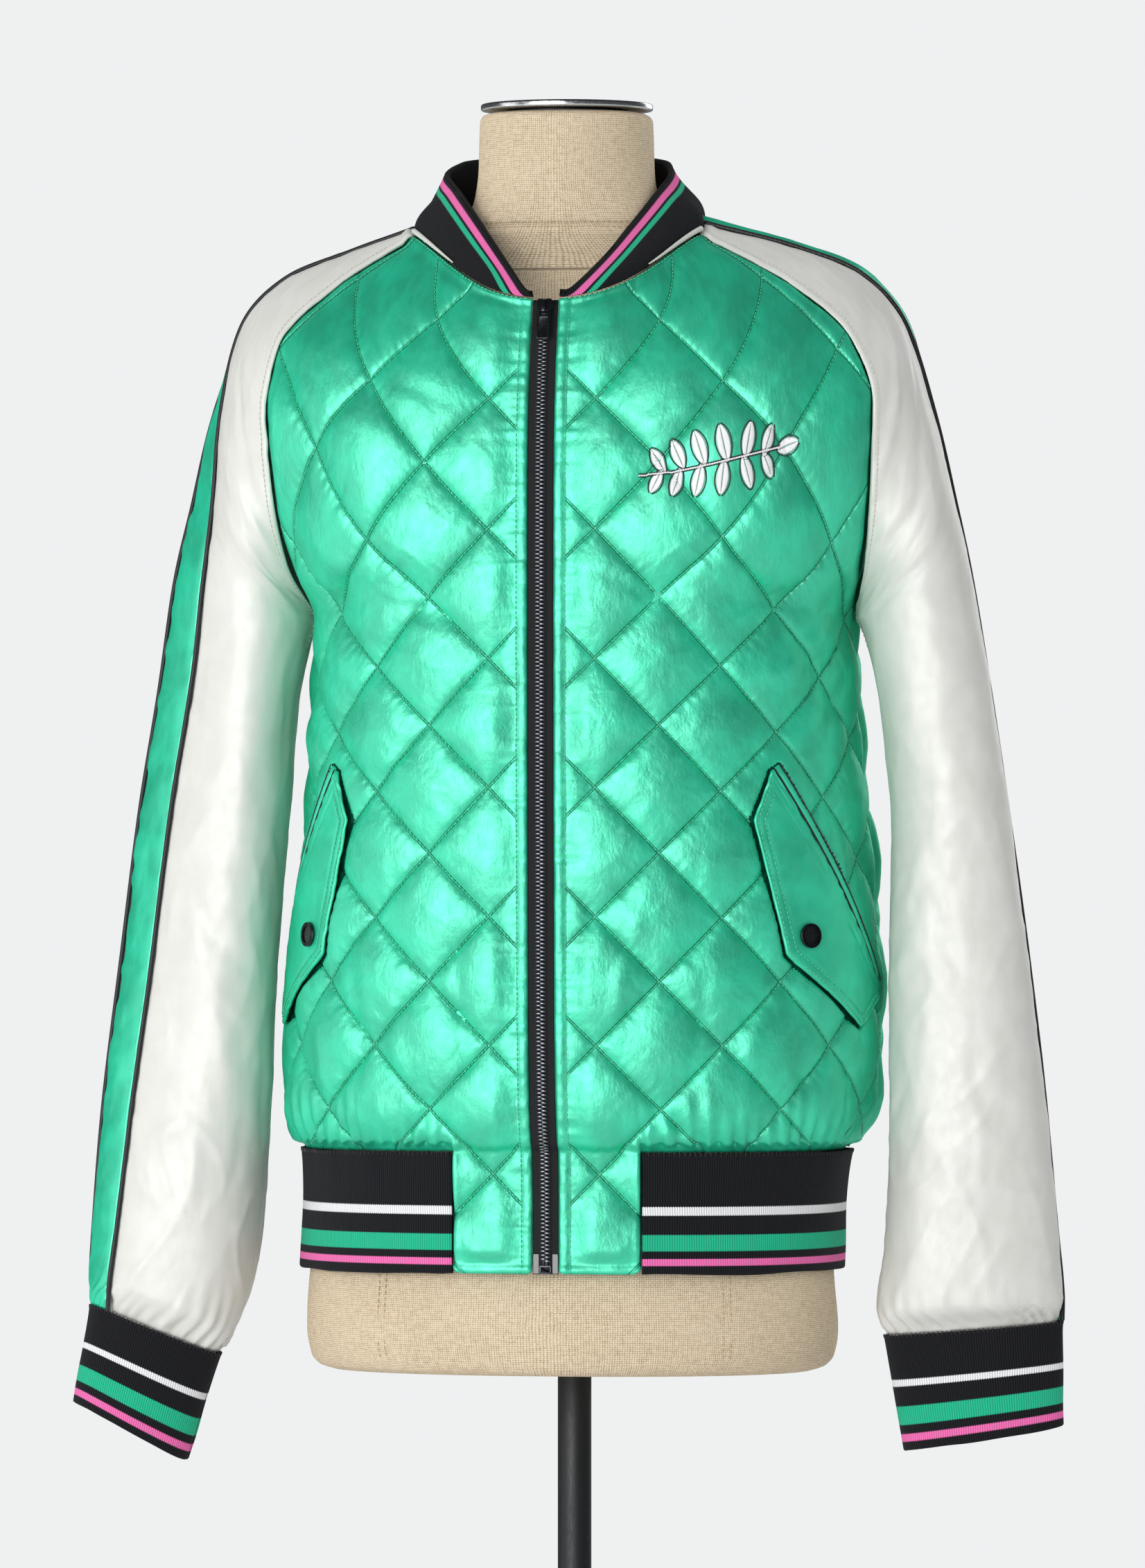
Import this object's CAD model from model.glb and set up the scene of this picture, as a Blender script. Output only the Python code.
"""The looks of a quilted satin blouson on a linen dress form.

Metres, +Z up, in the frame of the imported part: the front faces -Y and the wearer's left arm
hangs at +X. Every cloth piece is drawn by the rows and tables of the jacket's solids, on a
much finer grid, and is then quilted, gathered and creased along its own normals.
"""
from __future__ import annotations

import logging
import math
from dataclasses import dataclass, field
from enum import IntEnum
from typing import Callable, Optional, Sequence

import bmesh
import bpy
import numpy as np
from mathutils import Matrix, Vector

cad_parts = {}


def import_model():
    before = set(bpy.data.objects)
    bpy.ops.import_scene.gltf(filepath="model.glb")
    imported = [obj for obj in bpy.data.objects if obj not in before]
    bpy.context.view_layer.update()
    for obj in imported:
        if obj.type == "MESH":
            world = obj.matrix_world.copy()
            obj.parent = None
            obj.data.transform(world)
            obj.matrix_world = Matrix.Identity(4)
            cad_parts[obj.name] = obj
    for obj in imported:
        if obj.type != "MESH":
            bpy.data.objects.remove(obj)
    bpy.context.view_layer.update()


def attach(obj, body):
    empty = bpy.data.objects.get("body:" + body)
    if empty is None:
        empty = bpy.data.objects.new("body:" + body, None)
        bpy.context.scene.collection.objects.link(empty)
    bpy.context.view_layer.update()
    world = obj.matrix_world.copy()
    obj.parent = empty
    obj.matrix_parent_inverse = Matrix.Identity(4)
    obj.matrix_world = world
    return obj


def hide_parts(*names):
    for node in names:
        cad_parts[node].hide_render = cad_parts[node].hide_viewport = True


LOG = logging.getLogger("blouson")


class Facing(IntEnum):
    """The jacket's two faces, as signs along Y."""

    FRONT = -1
    BACK = 1


class Side(IntEnum):
    """The wearer's two sides, as signs along X."""

    LEFT = 1
    RIGHT = -1

    @property
    def word(self) -> str:
        """Name the side as the names of pieces do."""
        return self.name.lower()


FRONT, BACK = Facing.FRONT, Facing.BACK
LEFT, RIGHT = Side.LEFT, Side.RIGHT

# Rows of the jacket's skin, in metres, as its solids have them. A row of the body runs from the
# centre to the side seam, or above the armpit to the raglan seam. heading is 0 degrees outwards
# and 90 to the other face; near and far are the pull of the curve at its two ends.
BODY_COLUMNS = ("key", "centre_z", "depth", "side_x", "side_y", "side_z",
                "heading", "rise", "near", "far")
FRONT_ROWS = [
    (0.000, 0.8510, 0.1200, 0.1790, 0.012, 0.8500, 90.0, 0.00, 0.62, 0.62),
    (0.100, 0.8870, 0.1200, 0.1790, 0.012, 0.8860, 90.0, 0.00, 0.62, 0.62),
    (0.190, 0.9290, 0.1220, 0.1815, 0.012, 0.9275, 90.0, 0.00, 0.62, 0.62),
    (0.205, 0.9350, 0.1270, 0.1880, 0.012, 0.9335, 90.0, 0.00, 0.62, 0.62),
    (0.250, 0.9670, 0.1345, 0.1960, 0.012, 0.9660, 90.0, 0.00, 0.62, 0.62),
    (0.330, 1.0190, 0.1385, 0.1955, 0.012, 1.0180, 90.0, 0.00, 0.62, 0.62),
    (0.450, 1.1000, 0.1400, 0.1900, 0.010, 1.0960, 90.0, 0.00, 0.62, 0.62),
    (0.560, 1.1810, 0.1415, 0.1830, 0.007, 1.1720, 90.0, 0.00, 0.62, 0.62),
    (0.660, 1.2570, 0.1420, 0.1790, 0.000, 1.2420, 88.0, 0.00, 0.62, 0.62),
    (0.700, 1.2880, 0.1420, 0.1780, -0.008, 1.2720, 80.0, 0.00, 0.62, 0.60),
    (0.750, 1.3190, 0.1420, 0.1880, -0.052, 1.3050, 60.0, 0.05, 0.62, 0.55),
    (0.800, 1.3490, 0.1415, 0.1955, -0.077, 1.3520, 46.0, 0.10, 0.62, 0.50),
    (0.860, 1.3840, 0.1400, 0.1990, -0.086, 1.4100, 38.0, 0.15, 0.60, 0.45),
    (0.910, 1.4150, 0.1365, 0.1880, -0.081, 1.4520, 36.0, 0.20, 0.58, 0.42),
    (0.955, 1.4455, 0.1300, 0.1525, -0.066, 1.4880, 40.0, 0.25, 0.55, 0.40),
    (1.000, 1.4780, 0.1190, 0.0935, -0.040, 1.5240, 62.0, 0.30, 0.55, 0.50),
]
BACK_ROWS = [
    (0.000, 0.8500, 0.1150, 0.1790, 0.012, 0.8500, 90.0, 0.00, 0.60, 0.60),
    (0.100, 0.8860, 0.1150, 0.1790, 0.012, 0.8860, 90.0, 0.00, 0.60, 0.60),
    (0.190, 0.9275, 0.1170, 0.1815, 0.012, 0.9275, 90.0, 0.00, 0.60, 0.60),
    (0.205, 0.9335, 0.1220, 0.1880, 0.012, 0.9335, 90.0, 0.00, 0.60, 0.60),
    (0.250, 0.9660, 0.1290, 0.1960, 0.012, 0.9660, 90.0, 0.00, 0.60, 0.60),
    (0.330, 1.0180, 0.1290, 0.1955, 0.012, 1.0180, 90.0, 0.00, 0.60, 0.60),
    (0.450, 1.0980, 0.1270, 0.1900, 0.010, 1.0960, 90.0, 0.00, 0.60, 0.60),
    (0.560, 1.1760, 0.1280, 0.1830, 0.007, 1.1720, 90.0, 0.00, 0.60, 0.60),
    (0.660, 1.2500, 0.1290, 0.1790, 0.000, 1.2420, 88.0, 0.00, 0.60, 0.60),
    (0.700, 1.2820, 0.1290, 0.1780, -0.008, 1.2720, 84.0, 0.00, 0.60, 0.60),
    (0.750, 1.3220, 0.1280, 0.1870, 0.038, 1.3130, 60.0, 0.05, 0.60, 0.55),
    (0.800, 1.3650, 0.1250, 0.1900, 0.062, 1.3620, 48.0, 0.08, 0.60, 0.50),
    (0.860, 1.4100, 0.1180, 0.1900, 0.069, 1.4140, 40.0, 0.08, 0.58, 0.45),
    (0.910, 1.4500, 0.1080, 0.1760, 0.066, 1.4580, 38.0, 0.05, 0.55, 0.42),
    (0.955, 1.4930, 0.0930, 0.1400, 0.054, 1.4990, 40.0, 0.00, 0.52, 0.40),
    (1.000, 1.5340, 0.0720, 0.0860, 0.026, 1.5350, 55.0, 0.00, 0.52, 0.50),
]

# How far each side hangs off the pole's plane, by height.
DRIFT = [
    # height, sideways
    (0.840, -0.004), (0.930, 0.000), (1.000, 0.006), (1.120, 0.009), (1.240, 0.0085),
    (1.420, 0.0090), (1.452, 0.0060), (1.488, 0.0025), (1.524, -0.005), (1.540, -0.006),
]

# A sleeve's row goes from its front seam over the middle of the green band to its back seam.
# Above the armpit those seams are the raglan seams; below it both are the underarm seam at
# inner_x, _y, _z. turn is how far the band faces forward (+) or backward (-), in degrees.
# The headings are 0 degrees outwards, 90 to the other face and -90 away from it, and each pull
# is the length of the curve's handle at that end.
SLEEVE_COLUMNS = ("key", "band_x", "band_y", "band_z", "turn",
                  "front_heading", "front_rise", "front_pull", "front_far",
                  "back_heading", "back_rise", "back_pull", "back_far",
                  "inner_x", "inner_y", "inner_z")
ARMPIT = (0.178, -0.008, 1.272)
# The sleeve on the wearer's left hangs nearly straight, with its band turned back.
LEFT_SLEEVE_ROWS = [
    (0.000, 0.0845, -0.008, 1.5360, 0.0, 62.0, 0.35, 0.014, 0.014, 60.0, 0.10, 0.014, 0.014,
     *ARMPIT),
    (0.045, 0.1490, -0.008, 1.5180, 0.0, 66.0, 0.50, 0.024, 0.026, 66.0, 0.35, 0.022, 0.026,
     *ARMPIT),
    (0.090, 0.1900, -0.009, 1.5015, 0.0, 60.0, 0.60, 0.030, 0.034, 60.0, 0.50, 0.028, 0.034,
     *ARMPIT),
    (0.140, 0.2185, -0.010, 1.4700, -4.0, 35.0, 0.60, 0.036, 0.044, 35.0, 0.50, 0.034, 0.044,
     *ARMPIT),
    (0.200, 0.2370, -0.008, 1.4080, -12.0, 0.0, 0.45, 0.040, 0.056, 5.0, 0.40, 0.040, 0.056,
     *ARMPIT),
    (0.250, 0.2480, -0.004, 1.3520, -18.0, -45.0, 0.25, 0.056, 0.070, -40.0, 0.25, 0.050, 0.062,
     *ARMPIT),
    (0.300, 0.2585, 0.000, 1.2960, -22.0, -80.0, 0.10, 0.084, 0.084, -80.0, 0.10, 0.070, 0.070,
     0.187, -0.008, 1.272),
    (0.340, 0.2670, 0.000, 1.2400, -25.0, -90.0, 0.00, 0.084, 0.084, -90.0, 0.00, 0.070, 0.070,
     0.2030, -0.008, 1.222),
    (0.420, 0.2800, 0.000, 1.1500, -28.0, -90.0, 0.00, 0.080, 0.080, -90.0, 0.00, 0.068, 0.068,
     0.2110, -0.010, 1.140),
    (0.520, 0.2945, 0.000, 1.0480, -30.0, -90.0, 0.00, 0.074, 0.074, -90.0, 0.00, 0.064, 0.064,
     0.2095, -0.010, 1.042),
    (0.640, 0.3065, 0.000, 0.9580, -30.0, -90.0, 0.00, 0.068, 0.068, -90.0, 0.00, 0.058, 0.058,
     0.2090, -0.012, 0.950),
    (0.780, 0.3155, -0.002, 0.8780, -28.0, -90.0, 0.00, 0.062, 0.062, -90.0, 0.00, 0.052, 0.052,
     0.2065, -0.014, 0.872),
    (0.860, 0.3200, -0.004, 0.8360, -25.0, -90.0, 0.00, 0.056, 0.056, -90.0, 0.00, 0.046, 0.046,
     0.2010, -0.015, 0.826),
    (0.900, 0.3210, -0.008, 0.8180, -20.0, -90.0, 0.00, 0.038, 0.038, -90.0, 0.00, 0.034, 0.034,
     0.2055, -0.016, 0.808),
    (1.000, 0.3225, -0.012, 0.7505, -15.0, -90.0, 0.00, 0.034, 0.034, -90.0, 0.00, 0.032, 0.032,
     0.2190, -0.018, 0.733),
]
# The sleeve on the wearer's right kicks outwards at the wrist, with its band turned forward.
RIGHT_SLEEVE_ROWS = [
    (0.000, 0.0990, -0.008, 1.5320, 0.0, 62.0, 0.35, 0.014, 0.014, 60.0, 0.10, 0.014, 0.014,
     *ARMPIT),
    (0.045, 0.1400, -0.008, 1.5180, 0.0, 66.0, 0.50, 0.024, 0.026, 66.0, 0.35, 0.022, 0.026,
     *ARMPIT),
    (0.090, 0.1850, -0.010, 1.5010, 0.0, 60.0, 0.60, 0.030, 0.034, 60.0, 0.50, 0.028, 0.034,
     *ARMPIT),
    (0.140, 0.2160, -0.014, 1.4710, 5.0, 35.0, 0.60, 0.034, 0.040, 35.0, 0.50, 0.034, 0.044,
     *ARMPIT),
    (0.200, 0.2350, -0.022, 1.4080, 20.0, 5.0, 0.45, 0.036, 0.044, 5.0, 0.40, 0.040, 0.060,
     *ARMPIT),
    (0.250, 0.2430, -0.027, 1.3520, 33.0, -45.0, 0.25, 0.048, 0.050, -40.0, 0.25, 0.058, 0.076,
     *ARMPIT),
    (0.300, 0.2530, -0.030, 1.2960, 42.0, -80.0, 0.10, 0.064, 0.060, -80.0, 0.10, 0.086, 0.088,
     0.170, -0.008, 1.272),
    (0.340, 0.2600, -0.030, 1.2400, 46.0, -90.0, 0.00, 0.068, 0.062, -90.0, 0.00, 0.088, 0.090,
     0.1830, -0.008, 1.222),
    (0.420, 0.2750, -0.030, 1.1500, 46.0, -90.0, 0.00, 0.066, 0.060, -90.0, 0.00, 0.084, 0.086,
     0.1885, -0.010, 1.140),
    (0.520, 0.2885, -0.030, 1.0480, 46.0, -90.0, 0.00, 0.062, 0.056, -90.0, 0.00, 0.080, 0.082,
     0.1965, -0.010, 1.040),
    (0.640, 0.3010, -0.031, 0.9580, 44.0, -90.0, 0.00, 0.058, 0.052, -90.0, 0.00, 0.074, 0.076,
     0.2010, -0.012, 0.940),
    (0.780, 0.3100, -0.032, 0.8800, 38.0, -90.0, 0.00, 0.052, 0.046, -90.0, 0.00, 0.066, 0.068,
     0.2100, -0.014, 0.850),
    (0.860, 0.3145, -0.032, 0.8440, 32.0, -90.0, 0.00, 0.046, 0.040, -90.0, 0.00, 0.060, 0.062,
     0.2220, -0.015, 0.812),
    (0.900, 0.3170, -0.030, 0.8240, 26.0, -90.0, 0.00, 0.032, 0.030, -90.0, 0.00, 0.046, 0.046,
     0.2320, -0.016, 0.792),
    (1.000, 0.3290, -0.028, 0.7600, 20.0, -90.0, 0.00, 0.030, 0.028, -90.0, 0.00, 0.042, 0.042,
     0.2545, -0.018, 0.722),
]

# How far back along its rows the left sleeve's band turns, below the elbow.
BAND_SHIFT = [
    (0.000, 0.000), (0.440, 0.000), (0.560, 0.005), (0.680, 0.012), (0.800, 0.015),
    (1.000, 0.015),
]

# The collar's upper edge on each side, from the zip round to the middle of the back.
COLLAR_TOP_RIGHT = [
    # share of the way, x, y, z
    (0.00, -0.0110, -0.1205, 1.4815), (0.15, -0.0250, -0.1060, 1.4990),
    (0.30, -0.0490, -0.0745, 1.5290), (0.45, -0.0700, -0.0400, 1.5530),
    (0.60, -0.0850, -0.0020, 1.5680), (0.75, -0.0800, 0.0300, 1.5755),
    (0.88, -0.0500, 0.0500, 1.5795), (1.00, -0.0080, 0.0570, 1.5805),
]
COLLAR_TOP_LEFT = [
    (0.00, 0.0125, -0.1205, 1.4815), (0.15, 0.0285, -0.1020, 1.5000),
    (0.30, 0.0440, -0.0730, 1.5240), (0.45, 0.0570, -0.0400, 1.5480),
    (0.60, 0.0640, -0.0060, 1.5650), (0.75, 0.0590, 0.0280, 1.5740),
    (0.88, 0.0340, 0.0500, 1.5790), (1.00, -0.0080, 0.0570, 1.5805),
]

# Level rings of the dress form.
FORM_COLUMNS = ("height", "half_width", "centre_y", "half_depth", "centre_x")
FORM_ROWS = [
    (0.7840, 0.1580, 0.004, 0.1000, -0.0020),
    (0.7865, 0.1660, 0.004, 0.1060, -0.0020),
    (0.7930, 0.1715, 0.004, 0.1095, -0.0020),
    (0.8100, 0.1745, 0.003, 0.1120, -0.0020),
    (0.8400, 0.1725, 0.001, 0.1085, -0.0020),
    (0.9000, 0.1670, 0.001, 0.1050, 0.0000),
    (0.9600, 0.1550, 0.001, 0.0990, 0.0000),
    (1.0400, 0.1430, 0.000, 0.0920, 0.0000),
    (1.1200, 0.1470, -0.002, 0.0960, 0.0000),
    (1.2000, 0.1570, -0.004, 0.1060, 0.0000),
    (1.2800, 0.1620, -0.006, 0.1130, 0.0000),
    (1.3400, 0.1640, -0.007, 0.1120, 0.0000),
    (1.4000, 0.1660, -0.007, 0.1000, 0.0000),
    (1.4400, 0.1680, -0.007, 0.0850, 0.0000),
    (1.4680, 0.1680, -0.008, 0.0690, 0.0000),
    (1.4840, 0.1630, -0.009, 0.0590, -0.0010),
    (1.4960, 0.1500, -0.010, 0.0520, -0.0020),
    (1.5060, 0.1290, -0.011, 0.0500, -0.0025),
    (1.5150, 0.1020, -0.013, 0.0500, -0.0025),
    (1.5240, 0.0800, -0.015, 0.0510, -0.0025),
    (1.5340, 0.0665, -0.016, 0.0525, -0.0025),
    (1.5480, 0.0600, -0.016, 0.0535, -0.0025),
    (1.5640, 0.0575, -0.016, 0.0540, -0.0025),
    (1.5880, 0.0565, -0.016, 0.0540, -0.0025),
    (1.5980, 0.0560, -0.016, 0.0538, -0.0025),
    (1.6015, 0.0540, -0.016, 0.0520, -0.0025),
    (1.6030, 0.0500, -0.016, 0.0480, -0.0025),
]

ARMPIT_KEY = 0.700
HEM_KEY = 0.190
NECK_KEY = 1.000
UNDERARM_KEY = 0.300
CUFF_KEY = 0.900
PLACKET_HALF = 0.0620
TAPE_HALF = 0.0085
STRIPE_HALF = 0.0175
PIPING_CENTRE = 0.0192
SLEEVE_EDGE = 0.0209
FORM_SQUARENESS = 2.25
# Half a quilted square's diagonal, and the place of one crossing on the fronts.
QUILT_HALF = 0.0415
QUILT_U = 0.035
QUILT_V = 0.915
NECK_ROLL = 0.0056
SEAM_TURN = (0.0006, 0.0018)
QUILT_TURN = SEAM_TURN + (0.0050,)
RIB_TURN = (0.0004,)
THREAD_LIFT = 0.0003
# How much of a crease is left, and how low the cloth lies, where a seam holds it flat.
HELD = 0.35
SEAM_LEVEL = -0.0012


def smooth_table(rows: Sequence[Sequence[float]], at: Sequence[float] | float) -> np.ndarray:
    """Read a table's columns between its rows, on curves that never pass their own points.

    Args:
        rows: the table, whose first column is the key.
        at: the keys to read at.

    Returns:
        One line for each key, without the key's own column.
    """
    table = np.array(rows, dtype=float)
    keys, values = table[:, 0], table[:, 1:]
    slopes = np.diff(values, axis=0) / np.diff(keys)[:, None]
    tangents = np.zeros_like(values)
    tangents[0], tangents[-1] = slopes[0], slopes[-1]
    before, after = slopes[:-1], slopes[1:]
    total = np.where(np.abs(before + after) < 1e-9, 1.0, before + after)
    tangents[1:-1] = np.where(before * after > 0, 2.0 * before * after / total, 0.0)
    at = np.clip(np.atleast_1d(np.asarray(at, dtype=float)), keys[0], keys[-1])
    index = np.clip(np.searchsorted(keys, at, side="right") - 1, 0, len(keys) - 2)
    width = (keys[index + 1] - keys[index])[:, None]
    t = (at - keys[index])[:, None] / width
    low = values[index] * (2 * t**3 - 3 * t**2 + 1)
    low = low + tangents[index] * width * (t**3 - 2 * t**2 + t)
    high = values[index + 1] * (3 * t**2 - 2 * t**3)
    return low + high + tangents[index + 1] * width * (t**3 - t**2)


def read_row(rows: Sequence[Sequence[float]], columns: Sequence[str], key: float) -> dict:
    """Name the values of a table at one key."""
    return dict(zip(columns[1:], smooth_table(rows, key)[0]))


def drift(heights: Sequence[float] | float) -> np.ndarray:
    """Give how far the cloth hangs sideways at each height."""
    return smooth_table(DRIFT, heights)[:, 0]


def cubic(p0: np.ndarray, p1: np.ndarray, p2: np.ndarray, p3: np.ndarray,
          steps: int = 64) -> np.ndarray:
    """Give points on a cubic curve with these four control points."""
    t = np.linspace(0.0, 1.0, steps + 1)[:, None]
    u = 1.0 - t
    return u**3 * p0 + 3 * u**2 * t * p1 + 3 * u * t**2 * p2 + t**3 * p3


def run_lengths(points: np.ndarray) -> np.ndarray:
    """Give the length along a line of points up to each of them."""
    steps = np.linalg.norm(np.diff(points, axis=0), axis=1)
    return np.concatenate([[0.0], np.cumsum(steps)])


def points_at(points: np.ndarray, lengths: Sequence[float]) -> np.ndarray:
    """Give the points at these lengths along a line of points."""
    along = run_lengths(points)
    return np.stack([np.interp(lengths, along, points[:, axis]) for axis in range(3)], axis=1)


def evenly(line: np.ndarray, count: int, start: float = 0.0) -> np.ndarray:
    """Space points evenly along a line, from a length along it to its end."""
    return points_at(line, np.linspace(start, run_lengths(line)[-1], count))


def heading_vector(degrees: float, rise: float, facing: int) -> np.ndarray:
    """Point outwards at 0 degrees and to the other face at 90, rising by rise."""
    angle = math.radians(degrees)
    level = math.sqrt(1.0 - rise * rise)
    return np.array([math.cos(angle) * level, -facing * math.sin(angle) * level, rise])


def seam_point(rows: Sequence[Sequence[float]], key: float, side: int) -> np.ndarray:
    """Give the end of a body row on one side: the side seam or the raglan seam."""
    row = read_row(rows, BODY_COLUMNS, key)
    point = np.array([row["side_x"] * side, row["side_y"], row["side_z"]])
    point[0] += drift(point[2])[0]
    return point


def body_row(rows: Sequence[Sequence[float]], key: float, facing: int, side: int) -> np.ndarray:
    """Draw a row of the body.

    Args:
        rows: the table of the front or the back.
        key: the row's key, from 0 at the hem to 1 at the neck.
        facing: FRONT or BACK.
        side: LEFT or RIGHT.

    Returns:
        Points from the centre to the seam.
    """
    row = read_row(rows, BODY_COLUMNS, key)
    centre = np.array([0.0, facing * row["depth"], row["centre_z"]])
    end = np.array([row["side_x"], row["side_y"], row["side_z"]])
    along = heading_vector(row["heading"], row["rise"], facing)
    reach = abs(end[1] - centre[1]) * abs(along[1]) + end[0] * abs(along[0])
    near = centre + np.array([row["near"] * end[0], 0.0, 0.0])
    points = cubic(centre, near, end - along * row["far"] * reach, end)
    points[:, 0] = points[:, 0] * side
    points[:, 0] += drift(points[:, 2]) * np.linspace(0.0, 1.0, len(points))
    points[-1] = seam_point(rows, key, side)
    return points


def sleeve_row(key: float, side: int) -> tuple[np.ndarray, float]:
    """Draw a row of a sleeve, from its front seam over the green band to its back seam.

    Args:
        key: the row's key, from 0 at the neck to 1 at the cuff's edge.
        side: LEFT or RIGHT.

    Returns:
        The points, and how far along them the middle of the band lies.
    """
    row = read_row(LEFT_SLEEVE_ROWS if side > 0 else RIGHT_SLEEVE_ROWS, SLEEVE_COLUMNS, key)
    outer = np.array([row["band_x"] * side, row["band_y"], row["band_z"]])
    front = np.array([row["inner_x"] * side, row["inner_y"], row["inner_z"]])
    back = front
    if key < UNDERARM_KEY:
        front = seam_point(FRONT_ROWS, NECK_KEY - key, side)
        back = seam_point(BACK_ROWS, NECK_KEY - key, side)
    elif key == UNDERARM_KEY:
        front = seam_point(FRONT_ROWS, ARMPIT_KEY, side)
        back = front
    mirror = np.array([side, 1.0, 1.0])
    leave = heading_vector(row["front_heading"], row["front_rise"], FRONT) * mirror
    arrive = heading_vector(row["back_heading"], row["back_rise"], BACK) * mirror
    turn = math.radians(row["turn"])
    level = np.array([math.sin(turn) * side, math.cos(turn), 0.0])
    first = cubic(front, front + leave * row["front_pull"], outer - level * row["front_far"], outer)
    second = cubic(outer, outer + level * row["back_far"], back + arrive * row["back_pull"], back)
    shift = float(smooth_table(BAND_SHIFT, key)[0, 0]) if side > 0 else 0.0
    return np.concatenate([first, second[1:]]), run_lengths(first)[-1] + shift


def body_ring(key: float, start: float, front_count: int, back_count: int) -> np.ndarray:
    """Draw a row round the whole body, from the zip's right side to its left.

    Args:
        key: the row's key.
        start: how far from the centre front it begins.
        front_count: the points on each half of the front.
        back_count: the points on each half of the back.

    Returns:
        The points, each seam's only once.
    """
    parts = []
    for side in (RIGHT, LEFT):
        front = evenly(body_row(FRONT_ROWS, key, FRONT, side), front_count, start)
        back = evenly(body_row(BACK_ROWS, key, BACK, side), back_count)
        parts.append(np.concatenate([front, back[::-1][1:]]))
    return np.concatenate([parts[0], parts[1][::-1][1:]])


def sleeve_rings(keys: Sequence[float], side: int, count: int) -> np.ndarray:
    """Draw closed rows round a sleeve."""
    rows = np.array([evenly(sleeve_row(float(key), side)[0], count) for key in keys])
    rows[:, -1] = rows[:, 0]
    return rows


def centre_height(key: float) -> float:
    """Give the height of the front's centre line at a key."""
    return float(read_row(FRONT_ROWS, BODY_COLUMNS, key)["centre_z"])


def window(values: np.ndarray, low: float, high: float) -> np.ndarray:
    """Rise smoothly from 0 at low to 1 at high."""
    t = np.clip((values - low) / (high - low), 0.0, 1.0)
    return t * t * (3.0 - 2.0 * t)


def hump(distance: np.ndarray, width: float, power: float = 0.6) -> np.ndarray:
    """Rise from 0 to 1 and fall back, once over a width from an edge."""
    return np.sin(np.pi * np.clip(distance / width, 0.0, 1.0)) ** power


def spread(values: np.ndarray, shape: tuple[int, int]) -> np.ndarray:
    """Repeat a row or a column of values over a grid."""
    return np.broadcast_to(values, shape).copy()


class Noise:
    """Smooth noise that is the same on every run."""

    def __init__(self, seed: int, size: int = 61) -> None:
        """Fill the table of one pattern."""
        self.size = size
        self.table = np.random.default_rng(seed).uniform(-1.0, 1.0, (size, size))

    def at(self, x: np.ndarray, y: np.ndarray) -> np.ndarray:
        """Read the noise, from -1 to 1, where one unit is one lump."""
        x, y = np.broadcast_arrays(x, y)
        column, row = np.floor(x).astype(int), np.floor(y).astype(int)
        a, b = x - column, y - row
        a = a * a * a * (a * (a * 6 - 15) + 10)
        b = b * b * b * (b * (b * 6 - 15) + 10)
        n = self.size
        low = self.table[row % n, column % n] * (1 - a) + self.table[row % n, (column + 1) % n] * a
        high = (self.table[(row + 1) % n, column % n] * (1 - a)
                + self.table[(row + 1) % n, (column + 1) % n] * a)
        return low * (1 - b) + high * b

    def rough(self, x: np.ndarray, y: np.ndarray, octaves: int = 3) -> np.ndarray:
        """Add finer and fainter copies of the noise."""
        total = np.zeros(np.broadcast(x, y).shape)
        for k in range(octaves):
            total = total + self.at(x * 2**k + 17.3 * k, y * 2**k + 5.1 * k) / 2**k
        return total / 1.6


def creases(rows: Sequence[Sequence[float]], u: np.ndarray, v: np.ndarray) -> np.ndarray:
    """Add soft ridges and troughs to a cloth.

    Args:
        rows: place, angle in degrees from the u axis, length, width, height (negative for a
            trough) and bend of each crease, all in millimetres.
        u: places across the cloth, in metres.
        v: places up the cloth, in metres.

    Returns:
        Heights along the normals, in metres.
    """
    total = np.zeros(u.shape)
    for at_u, at_v, angle, length, width, height, bend in rows:
        x, y = u * 1000.0 - at_u, v * 1000.0 - at_v
        c, s = math.cos(math.radians(angle)), math.sin(math.radians(angle))
        along, across = x * c + y * s, y * c - x * s
        half = 0.5 * length
        across = across - bend * (1.0 - (along / half) ** 2)
        thin = width * (0.45 + 0.55 * np.clip(1.0 - (along / half) ** 2, 0.0, 1.0))
        fade = np.clip(1.0 - (along / half) ** 2, 0.0, 1.0) ** 1.5
        total += height * 0.001 * fade * np.exp(-((across / thin) ** 2))
    return total


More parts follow.
